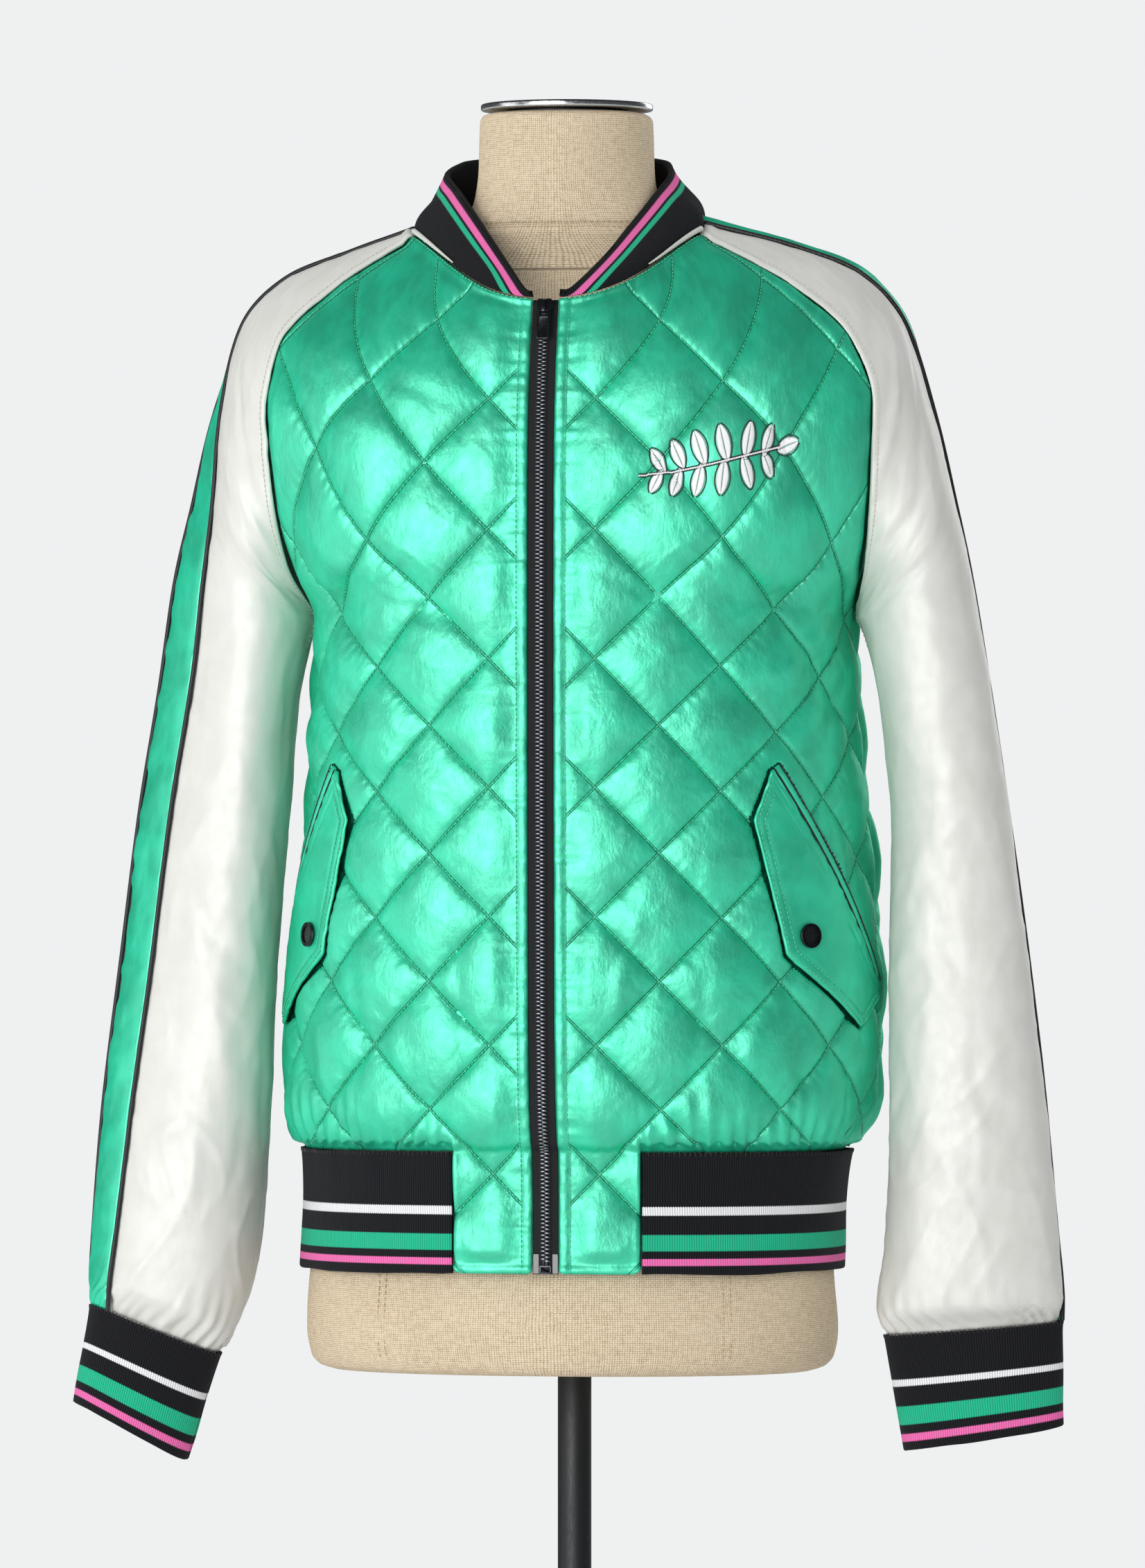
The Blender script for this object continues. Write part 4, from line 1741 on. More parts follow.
    def build_band(self) -> None:
        """Make the green band, flat with level ripples where its seams draw it in."""
        band = self.strip(self.middle - STRIPE_HALF, self.middle + STRIPE_HALF, self.band_columns)
        noise = Noise(91 + self.side)
        across = band.u - self.middle[:, None]
        edge = STRIPE_HALF - np.abs(across)
        side = np.where(across > 0, 40.0, 0.0)
        ripple = noise.at(band.v / 0.0085 + side, across / 0.020)
        long = noise.rough(band.v / 0.045, across / 0.030, 2)
        below = np.broadcast_to((self.down[-1] - self.down)[:, None], band.u.shape)
        height = 0.0006 + 0.0010 * ripple * np.exp(-edge / 0.010) + 0.0011 * long
        height += gathers(band.u, below, noise, 0.0095, 0.0022, 0.035)
        height += seam_dip(edge, 0.0009, 0.0025) + seam_dip(below, 0.0024, 0.006)
        panel = cloth_object("sleeve_stripe_" + self.side.word, band.raised(height),
                             (0.0006, 0.0016))
        self.place(panel, "green_band", "green_satin", "sleeve_band_" + self.side.word)
        declare_cloth(panel, (2.0 * STRIPE_HALF, float(self.down[-1])))

    def build_pipings(self) -> None:
        """Make the two round pipings that stand between the band and the ivory."""
        end = 0.0012
        for place, offset in (("front_", -PIPING_CENTRE), ("back_", PIPING_CENTRE)):
            line = self.line(offset)
            line = points_at(line, np.linspace(end, run_lengths(line)[-1] - end, 220))
            tube = tube_object("piping_cord_" + place + self.side.word, line, 0.0015, 12)
            self.place(tube, "piping", "black_piping", "piping_" + place + self.side.word)


def fold_down(drop: float, radius: float, steps: int, inside: float
              ) -> list[tuple[float, float]]:
    """List the section of a rib that is folded double.

    Args:
        drop: the height of its outer face above the fold.
        radius: the fold's radius.
        steps: how many points there are on the outer face.
        inside: how far the inner face goes back up.

    Returns:
        Heights above the fold's bottom, and depths in from the outer face.
    """
    line = [(h, 0.0) for h in np.linspace(drop, radius, steps)]
    for angle in np.linspace(0.0, math.pi, 9)[1:-1]:
        line.append((radius - radius * math.sin(angle), radius - radius * math.cos(angle)))
    line += [(h, 2.0 * radius) for h in np.linspace(radius, inside, max(steps // 3, 6))]
    return line


@dataclass
class Ribs(Cloth):
    """The knitted hem and cuffs, folded double, with coloured courses."""

    radius: float = 0.0015

    def folded(self, outer: np.ndarray, places: np.ndarray, section: list[tuple[float, float]],
               total: float, outward: int, closed: bool) -> Surface:
        """Fold a skin double along its lower edge.

        Args:
            outer: rows of the skin from the seam to the lower edge.
            places: where each column lies across the rib.
            section: the section of the fold.
            total: the skin's height.
            outward: which side faces out.
            closed: whether it is a tube.

        Returns:
            The rib's face, outside and inside.
        """
        v = np.broadcast_to(np.linspace(total, 0.0, len(outer))[:, None], outer.shape[:2])
        across = np.broadcast_to(places, outer.shape[:2])
        normals = Surface(outer, across, v, outward, None, closed).normals
        rows, heights = [], []
        last = len(outer) - 1
        for high, deep in section:
            spot = (1.0 - high / total) * last
            k = int(np.clip(spot, 0, last - 1))
            f = spot - k
            point = outer[k] * (1 - f) + outer[k + 1] * f
            normal = normals[k] * (1 - f) + normals[k + 1] * f
            rows.append(point - normal * deep)
            heights.append(high if deep < self.radius * 1.2 else -0.004 - high)
        shape = (len(rows), outer.shape[1])
        return Surface(np.array(rows), spread(places, shape),
                       spread(np.array(heights)[:, None], shape), outward, None, closed)

    def hem(self) -> None:
        """Make the hem rib, from one quilted square round the back to the other."""
        outer = np.array([body_ring(float(key), PLACKET_HALF + 0.0004, 76, 104)
                          for key in np.linspace(HEM_KEY, 0.0, 40)])
        places = run_lengths(outer[20])
        noise = Noise(13)
        total = run_lengths(outer[:, 0])[-1]
        face = self.folded(outer, places, fold_down(total, self.radius, 44, total * 0.985), total,
                           1, False)
        wave = noise.rough(face.u / 0.070, face.v / 0.060, 2) * 0.0012
        wave += self.tug(face, noise, 0.0125, total)
        ends = np.minimum(face.u, places[-1] - face.u)
        face = face.raised(wave * window(ends, 0.0, 0.012))
        piece = cloth_object("hem_rib_knit", face, RIB_TURN)
        self.place(piece, "hem", "black_rib", "hem_rib")
        declare_cloth(piece)
        self.seam_notches("hem_seam_notches", face.points[1], face.normals[1], 0.0034)

    def tug(self, face: Surface, noise: Noise, pitch: float, total: float) -> np.ndarray:
        """Ripple a rib where the gathered satin is sewn to it."""
        ripple = noise.at(face.u / pitch, face.v * 0.0) * 0.0009
        return np.where(face.v > 0, ripple * np.exp(-(total - face.v) / 0.008), 0.0)

    def cuff(self, side: Side) -> None:
        """Make a cuff, a tube that is folded double at the wrist."""
        outer = sleeve_rings(np.linspace(CUFF_KEY, 1.0, 36), side, 141)
        places = run_lengths(outer[18])
        drop = np.linalg.norm(np.diff(outer, axis=0), axis=2).sum(axis=0).mean()
        face = self.folded(outer, places, fold_down(drop, self.radius, 40, drop * 0.985), drop,
                           -side, True)
        noise = Noise(23 + side)
        wave = noise.rough(face.u / 0.045, face.v / 0.040, 2) * 0.0010
        wave += self.tug(face, noise, 0.0105, drop)
        ends = np.minimum(face.u, places[-1] - face.u)
        face = face.raised(wave * window(ends, 0.0, 0.010) - 0.0010 * np.exp(-ends / 0.0012))
        piece = cloth_object("cuff_knit_" + side.word, face, RIB_TURN)
        self.place(piece, "cuff", "black_rib", "cuff_" + side.word)
        declare_cloth(piece)
        self.seam_notches("cuff_seam_notches_" + side.word, face.points[1], face.normals[1],
                          0.0030)

    def seam_notches(self, name: str, line: np.ndarray, normals: np.ndarray, gap: float,
                     width: float = 0.0012) -> None:
        """Sew the small dark overlock stitches that show where satin meets rib."""
        lengths = run_lengths(line)
        spots = np.arange(gap, lengths[-1] - gap, gap)
        middle = points_at(line, spots)
        ahead = points_at(line, spots + 0.001) - points_at(line, spots - 0.001)
        ahead /= np.linalg.norm(ahead, axis=1)[:, None]
        normal = np.stack([np.interp(spots, lengths, normals[:, k]) for k in range(3)], axis=1)
        up = np.cross(normal, ahead)
        up *= np.sign(up[:, 2:3] + 1e-9)
        frames = np.stack([up * 0.0034, ahead * width * 0.8, normal * width], axis=1)
        piece = join_copies(name, STITCH_POINTS, STITCH_FACES, middle + up * 0.0010
                            - normal * 0.0004, frames)
        self.place(piece, "black_thread", "black_rib")


def neck_line(side: int) -> np.ndarray:
    """Give the neck seam on one side, from the zip to the middle of the back."""
    front = evenly(body_row(FRONT_ROWS, NECK_KEY, FRONT, side), 60, TAPE_HALF)
    over = sleeve_row(0.0, side)[0]
    back = body_row(BACK_ROWS, NECK_KEY, BACK, side)[::-1]
    return np.concatenate([front, over[1:], back[1:]])


@dataclass
class Collar(Cloth):
    """The rib collar, folded double at its upper edge, and the narrow bindings under it."""

    radius: float = 0.0018
    lift: float = 0.0006
    binding: float = 0.062

    def build(self) -> None:
        """Make the collar from one end of the zip round the neck to the other."""
        columns, places = [], []
        upright = np.array([0.0, 0.0, 1.0])
        for side, table in ((RIGHT, COLLAR_TOP_RIGHT), (LEFT, COLLAR_TOP_LEFT)):
            base = neck_line(side)
            shares = np.linspace(0.0, 1.0, 121)
            base = points_at(base, shares * run_lengths(base)[-1])
            top = smooth_table(table, shares)
            half = []
            for low, high in zip(base, top):
                rise = (high - low) / np.linalg.norm(high - low)
                low = low + rise * self.lift
                tall = np.linalg.norm(high - low)
                bulge = cubic(low, low + upright * 0.35 * tall, high - rise * 0.35 * tall, high)
                half.append(evenly(bulge, 25))
            columns.append(np.array(half))
            places.append(run_lengths(base))
        grid = np.concatenate([columns[0], columns[1][::-1][1:]])
        outer = np.transpose(grid, (1, 0, 2))
        along = np.concatenate([places[0], places[0][-1] + (places[1][-1] - places[1][::-1][1:])])
        tall = np.linalg.norm(np.diff(outer, axis=0), axis=2).sum(axis=0)
        down = np.linspace(1.0, 0.0, 25)[:, None] * tall[None]
        normals = Surface(outer, spread(along, outer.shape[:2]), -down, -1).normals
        rows, v = list(outer[:-1]), list(-down[:-1])
        step = outer[-1] - outer[-2]
        rise = step / np.linalg.norm(step, axis=1)[:, None]
        depth = np.minimum(self.radius, 0.30 * tall)[:, None]
        for angle in np.linspace(0.0, math.pi, 11):
            out = 1.0 - math.cos(angle)
            rows.append(outer[-1] - rise * depth * (1.0 - math.sin(angle))
                        - normals[-1] * depth * out)
            v.append(np.full(len(along), 0.001 if angle > 0.3 else 0.0))
        for k in range(23, -1, -1):
            rows.append(outer[k] - normals[k] * depth * 2.0)
            v.append(np.full(len(along), 0.002 + 0.001 * (23 - k)))
        face = Surface(np.array(rows), spread(along, (len(rows), len(along))), np.array(v), -1)
        noise = Noise(61)
        soft = noise.rough(face.u / 0.055, face.v / 0.030, 2) * 0.0009
        ends = np.minimum(face.u, along[-1] - face.u)
        face = face.raised(soft * window(ends, 0.0, 0.03))
        piece = cloth_object("collar_knit", face, RIB_TURN)
        self.place(piece, "collar", "black_rib", "collar")
        declare_cloth(piece)
        self.bindings()

    def bindings(self) -> None:
        """Sew in the narrow ivory binding that shows under the collar near each shoulder."""
        share = np.linspace(0.0, 1.0, 60)
        for side in Side:
            front = body_row(FRONT_ROWS, NECK_KEY, FRONT, side)
            length = run_lengths(front)[-1]
            line = points_at(front, length - 0.001 - (1.0 - share) * self.binding)
            out = (line + [0.0, 0.02, 0.0]) * [1.0, 1.0, 0.0]
            out /= np.linalg.norm(out, axis=1)[:, None]
            line = line + out * 0.0014 + [0.0, 0.0, 0.0026]
            tube = tube_object("neck_binding_" + side.word, line,
                               0.0004 + 0.0014 * share ** 0.7, 12, (0.0, 0.0, 1.0))
            self.place(tube, "ivory", "ivory_satin")


def centre_line(keys: Sequence[float]) -> np.ndarray:
    """Give the line of the centre front at these keys."""
    rows = [read_row(FRONT_ROWS, BODY_COLUMNS, float(key)) for key in keys]
    return np.array([[0.0, -row["depth"], row["centre_z"]] for row in rows])


def only(piece: bpy.types.Object) -> None:
    """Select one piece and nothing else."""
    bpy.ops.object.select_all(action="DESELECT")
    bpy.context.view_layer.objects.active = piece
    piece.select_set(True)


def apply_bevel(piece: bpy.types.Object, width: float, segments: int, angle: float = 30.0) -> None:
    """Bevel the edges sharper than an angle, and shade the piece smooth."""
    only(piece)
    bevel = piece.modifiers.new("edges", "BEVEL")
    bevel.width, bevel.segments, bevel.limit_method = width, segments, "ANGLE"
    bevel.angle_limit = math.radians(angle)
    bpy.ops.object.modifier_apply(modifier=bevel.name)
    bpy.ops.object.shade_smooth_by_angle(angle=math.radians(38))


def settle(piece: bpy.types.Object, matrix: Optional[Matrix] = None) -> None:
    """Put a piece's place into its mesh, so that its object sits at the origin."""
    total = (matrix if matrix is not None else Matrix()) @ piece.matrix_world
    piece.data.transform(total)
    piece.matrix_world = Matrix()
    piece.data.update()


def face_out(piece: bpy.types.Object) -> None:
    """Make all the faces of a closed piece look outwards."""
    only(piece)
    bpy.ops.object.mode_set(mode="EDIT")
    bpy.ops.mesh.select_all(action="SELECT")
    bpy.ops.mesh.normals_make_consistent(inside=False)
    bpy.ops.object.mode_set(mode="OBJECT")


def turned(name: str, radius: float, height: float, at: Sequence[float], sides: int
           ) -> bpy.types.Object:
    """Add a cylinder that stands on a place."""
    bpy.ops.object.select_all(action="DESELECT")
    bpy.ops.mesh.primitive_cylinder_add(vertices=sides, radius=radius, depth=height,
                                        location=(at[0], at[1], at[2] + 0.5 * height))
    piece = bpy.context.object
    piece.name = name
    piece.data.name = name
    bpy.ops.object.transform_apply(location=True, rotation=True, scale=True)
    return piece


def pick_faces(piece: bpy.types.Object, normal: Sequence[float], least: float) -> None:
    """In edit mode, select the faces that look along a direction and reach furthest."""
    bpy.ops.mesh.select_all(action="DESELECT")
    work = bmesh.from_edit_mesh(piece.data)
    way = Vector(normal)
    best = max(face.calc_center_median().dot(way) for face in work.faces
               if face.normal.dot(way) > 0.9)
    for face in work.faces:
        if face.normal.dot(way) > 0.9 and face.calc_center_median().dot(way) > best - least:
            face.select_set(True)
    bmesh.update_edit_mesh(piece.data)


def sink_face(piece: bpy.types.Object, normal: Sequence[float], border: float, depth: float
              ) -> None:
    """Inset a piece's outermost face and move it in (or out, for a depth below zero)."""
    only(piece)
    bpy.ops.object.mode_set(mode="EDIT")
    bpy.ops.mesh.select_mode(type="FACE")
    pick_faces(piece, normal, 1e-5)
    bpy.ops.mesh.inset(thickness=border, depth=0.0)
    bpy.ops.mesh.extrude_region_move(
        TRANSFORM_OT_translate={"value": [-depth * part for part in normal]})
    bpy.ops.object.mode_set(mode="OBJECT")


def plate(name: str, outline: Sequence[tuple[float, float]], front: float, back: float
          ) -> bpy.types.Object:
    """Cut a plate from an outline of (x, z) points, between two depths."""
    bpy.ops.object.select_all(action="DESELECT")
    bpy.ops.mesh.primitive_circle_add(vertices=len(outline), radius=0.01, fill_type="NGON")
    piece = bpy.context.object
    piece.name = name
    piece.data.name = name
    ring = outline if signed_area(outline) > 0 else outline[::-1]
    for vertex, (x, z) in zip(piece.data.vertices, ring):
        vertex.co = (x, back, z)
    only(piece)
    bpy.ops.object.mode_set(mode="EDIT")
    bpy.ops.mesh.select_all(action="SELECT")
    bpy.ops.mesh.extrude_region_move(TRANSFORM_OT_translate={"value": (0.0, front - back, 0.0)})
    bpy.ops.object.mode_set(mode="OBJECT")
    face_out(piece)
    return piece


def signed_area(outline: Sequence[tuple[float, float]]) -> float:
    """Give twice the area inside an outline, below zero where it runs clockwise."""
    after = list(outline[1:]) + [outline[0]]
    return sum(a[0] * b[1] - b[0] * a[1] for a, b in zip(outline, after))


def combine(piece: bpy.types.Object, other: bpy.types.Object, operation: str) -> None:
    """Unite two pieces or cut one with the other, and remove the other."""
    only(piece)
    cut = piece.modifiers.new("cut", "BOOLEAN")
    cut.operation, cut.object = operation, other
    bpy.ops.object.modifier_apply(modifier=cut.name)
    bpy.data.objects.remove(other, do_unlink=True)


def shape_of(piece: bpy.types.Object) -> tuple[np.ndarray, np.ndarray]:
    """Take a piece's points and triangles, and remove the piece."""
    work = bmesh.new()
    work.from_mesh(piece.data)
    bmesh.ops.triangulate(work, faces=work.faces)
    points = np.array([vertex.co for vertex in work.verts])
    faces = np.array([[vertex.index for vertex in face.verts] for face in work.faces])
    work.free()
    bpy.data.objects.remove(piece, do_unlink=True)
    return points, faces


def rounded(left: float, right: float, low: float, high: float, corner: float
            ) -> list[tuple[float, float]]:
    """Give a rectangle's outline with rounded corners."""
    outline = []
    for x, z, start in ((right - corner, high - corner, 0), (left + corner, high - corner, 90),
                        (left + corner, low + corner, 180), (right - corner, low + corner, 270)):
        for k in range(4):
            angle = math.radians(start + 30 * k)
            outline.append((x + corner * math.cos(angle), z + corner * math.sin(angle)))
    return outline


@dataclass
class Zip(Cloth):
    """The front zip: two tapes, their teeth, the slider with its tab, and the bottom box."""

    sunk: float = 0.0012
    pitch: float = 0.00256
    top_key: float = 0.9985
    slider_height: float = 0.0125
    slider_half: float = 0.0055
    slider_wall: float = 0.0026
    clear: float = 0.0003
    room: float = 0.0024
    bar: float = 0.0011
    tab_wall: float = 0.0012
    tab_length: float = 0.0205
    box_half: float = 0.0041
    box_height: float = 0.0072

    def build(self) -> None:
        """Make every part of the zip."""
        line = centre_line(np.linspace(0.0, self.top_key, 260))
        reach = run_lengths(line)[-1]
        self.tapes(line)
        self.teeth(line, reach)
        self.slider(line, reach)
        self.bottom_box(line)

    def tapes(self, line: np.ndarray) -> None:
        """Make the two woven tapes, with the bead where the teeth are set."""
        across = np.linspace(0.0004, TAPE_HALF - 0.0003, 14)
        bead = 0.0006 * np.exp(-(((across - 0.0027) / 0.0011) ** 2))
        shape = (len(line), len(across))
        heights = spread(run_lengths(line)[:, None], shape)
        for side in Side:
            section = np.stack([across * side, self.sunk + 0.0002 - bead, 0.0 * across], axis=1)
            face = Surface(line[:, None] + section[None], spread(across, shape), heights, side)
            tape = cloth_object("zip_tape_woven_" + side.word, face, (0.0008,))
            self.place(tape, "tape", "zip_tape", "zip_tape_" + side.word)
            declare_cloth(tape)

    def teeth(self, line: np.ndarray, reach: float) -> None:
        """Make one moulded tooth, and set it up both tapes, each side half a pitch on."""
        bpy.ops.object.select_all(action="DESELECT")
        bpy.ops.mesh.primitive_cube_add(size=1.0, location=(0.0, 0.0, 0.0))
        tooth = bpy.context.object
        for vertex in tooth.data.vertices:
            x, y, z = vertex.co
            head = x < 0
            vertex.co = (-0.00035 if head else 0.0031, -0.00125 if y < 0 else 0.0006,
                         math.copysign(0.00094 if head else 0.00062, z))
        apply_bevel(tooth, 0.00028, 1)
        points, faces = shape_of(tooth)
        centres, frames = [], []
        tangents = np.gradient(line, axis=0)
        tangents /= np.linalg.norm(tangents, axis=1)[:, None]
        heights = run_lengths(line)
        for side in (LEFT, RIGHT):
            start = self.box_height + 0.0014 + (0.5 * self.pitch if side < 0 else 0.0)
            spots = np.arange(start, reach - self.slider_height * 0.5, self.pitch)
            middle = points_at(line, spots)
            up = np.stack([np.interp(spots, heights, tangents[:, k]) for k in range(3)], axis=1)
            # the tooth's own y goes into the cloth, along +Y
            inward = np.cross(up, np.array([1.0, 0.0, 0.0]))
            across = np.broadcast_to(np.array([side, 0.0, 0.0]), middle.shape)
            centres.append(middle + inward * 0.0002)
            frames.append(np.stack([across, inward, up], axis=1))
        chain = join_copies("zip_teeth_moulded", points, faces, np.concatenate(centres),
                            np.concatenate(frames))
        face_out(chain)
        self.place(chain, "teeth", "black_metal", "zip_chain")

    def slider(self, line: np.ndarray, reach: float) -> None:
        """Make the slider with its bail, and the tab that hangs from it."""
        top, low = points_at(line, [reach, reach - 0.030])
        lean = math.atan2(top[1] - low[1], top[2] - low[2])
        seat = points_at(line, [reach - self.slider_height / 2.0])[0]
        out = self.slider_wall + 2.0 * self.clear
        origin = Vector((0.0, seat[1] - out * math.cos(lean), seat[2] + out * math.sin(lean)))
        tilt = Matrix.Translation(origin) @ Matrix.Rotation(-lean, 4, "X")
        half, wide = self.slider_height / 2.0, self.slider_half
        shield = [(-0.62 * wide, -half), (0.62 * wide, -half), (0.80 * wide, -0.3 * half),
                  (wide, 0.1 * half), (wide, half - 0.0016), (wide - 0.0016, half),
                  (0.0, half - 0.0004), (-wide + 0.0016, half), (-wide, half - 0.0016),
                  (-wide, 0.1 * half), (-0.80 * wide, -0.3 * half)]
        body = plate("zip_slider_cast", shield, 0.0, self.slider_wall)
        apply_bevel(body, 0.0005, 3)
        foot = -half + 0.0020
        bail = self.bail(foot, half - 0.0020)
        only(body)
        bail.select_set(True)
        bpy.ops.object.join()
        settle(body, tilt)
        self.place(body, "metal", "black_metal", "zip_slider")
        self.tab(tilt, foot + self.bar + self.clear)

    def bail(self, foot: float, head: float) -> bpy.types.Object:
        """Bend the bail, an arch on the slider's face between two heights."""
        far = -self.room - self.bar
        arch = [(0.0008, foot), (far + 0.0010, foot), (far + 0.0003, foot + 0.0003),
                (far, foot + 0.0010), (far, head - 0.0010), (far + 0.0003, head - 0.0003),
                (far + 0.0010, head), (0.0008, head), (0.0008, head - self.bar),
                (-self.room, head - self.bar), (-self.room, foot + self.bar),
                (0.0008, foot + self.bar)]
        bail = plate("bail", arch, -0.0011, 0.0011)
        for vertex in bail.data.vertices:
            y, x, z = vertex.co
            vertex.co = (x, y, z)
        face_out(bail)
        apply_bevel(bail, 0.00022, 2)
        return bail

    def tab(self, tilt: Matrix, seat: float) -> None:
        """Make the pull tab, with a hole for the bail and a sunk panel.

        Args:
            tilt: the slider's place and lean.
            seat: how far over the slider's middle the tab's upper end hangs.
        """
        wall = self.tab_wall
        hinge = Vector((0.0, -self.room / 2.0, seat + wall / 2.0))
        low_end = wall / 2.0 - self.tab_length
        tab = plate("zip_pull_tab", rounded(-0.0043, 0.0043, low_end, wall / 2.0, 0.0012),
                    -wall / 2.0, wall / 2.0)
        hole = plate("hole", rounded(-0.0023, 0.0023, -wall / 2.0 - 0.0030, -wall / 2.0, 0.0006),
                     -0.01, 0.01)
        combine(tab, hole, "DIFFERENCE")
        panel = plate("panel", rounded(-0.0031, 0.0031, low_end + 0.0012, -0.0052, 0.0010),
                      -0.01, -wall / 2.0 + 0.00025)
        combine(tab, panel, "DIFFERENCE")
        apply_bevel(tab, 0.00022, 2)
        settle(tab, tilt @ Matrix.Translation(hinge))
        self.wardrobe.dress(tab, "metal")
        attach(tab, "pull")
        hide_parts("zip_pull")

    def bottom_box(self, line: np.ndarray) -> None:
        """Make the retaining box, its two pins, and the clear film on the tapes' ends."""
        _, y, z = line[0]
        front = y - 0.0007
        box = plate("zip_box_cast", rounded(-self.box_half, self.box_half, z, z + 0.0058, 0.0008),
                    front, front + 0.0018)
        apply_bevel(box, 0.0003, 2)
        sink_face(box, (0.0, -1.0, 0.0), 0.0008, 0.00025)
        pins = []
        for place, high in ((-0.0013, 0.0112), (0.0011, 0.0104)):
            pins.append(turned("pin", 0.0007, high - 0.0050, (place, front + 0.0010, z + 0.0050),
                               20))
            apply_bevel(pins[-1], 0.0002, 2)
        only(box)
        for pin in pins:
            pin.select_set(True)
        bpy.ops.object.join()
        settle(box)
        self.place(box, "metal", "black_metal", "zip_box")
        for side in Side:
            left, right = sorted((side * 0.0044, side * 0.0080))
            film = plate("zip_film_" + side.word,
                         rounded(left, right, z + 0.0004, z + 0.0130, 0.0006),
                         y + 0.0007, y + 0.0012)
            apply_bevel(film, 0.0001, 1)
            settle(film)
            self.place(film, "film", "zip_tape")


# The pocket flap's sewn edge, its free edge and its middle, across and up the front in metres.
FLAP_MOUTH = ((0.1530, 1.1800), (0.2560, 1.0360))
FLAP_FREE = ((0.1515, 1.1790), (0.1380, 1.1460), (0.1610, 1.0570), (0.1680, 1.0510),
             (0.2290, 1.0090), (0.2570, 1.0290))
FLAP_MIDDLE = np.array([0.196, 1.093])
FLAP_TURN = (0.0005, 0.0016)


def along(places: Sequence[tuple[float, float]], count: int) -> np.ndarray:
    """Space places evenly on a line of (length, height) places."""
    flat = np.array([(length, height, 0.0) for length, height in places])
    return points_at(flat, np.linspace(0.0, run_lengths(flat)[-1], count))[:, :2]


def inside_flap(u: np.ndarray, v: np.ndarray) -> np.ndarray:
    """Tell how far inside the pocket flap's outline each place lies, in metres."""
    outline = np.array(list(FLAP_FREE) + [FLAP_MOUTH[1]])
    centre = outline.mean(axis=0)
    depth = np.full(np.shape(u), 1.0)
    for a, b in zip(outline, np.roll(outline, -1, axis=0)):
        way = b - a
        normal = np.array([-way[1], way[0]]) / max(np.linalg.norm(way), 1e-9)
        if np.dot(centre - a, normal) < 0:
            normal = -normal
        depth = np.minimum(depth, (u - a[0]) * normal[0] + (v - a[1]) * normal[1])
    return depth


def inside_welt(u: np.ndarray, v: np.ndarray) -> np.ndarray:
    """Tell how far inside the narrow welt beside the pocket's mouth each place lies."""
    start, way = np.array(FLAP_MOUTH[0]), np.array(FLAP_MOUTH[1]) - np.array(FLAP_MOUTH[0])
    length = float(np.linalg.norm(way))
    way = way / length
    on = (u - start[0]) * way[0] + (v - start[1]) * way[1]
    off = -(u - start[0]) * way[1] + (v - start[1]) * way[0]
    return np.minimum(np.minimum(on, length - on), np.minimum(off + 0.002, 0.0074 - off))


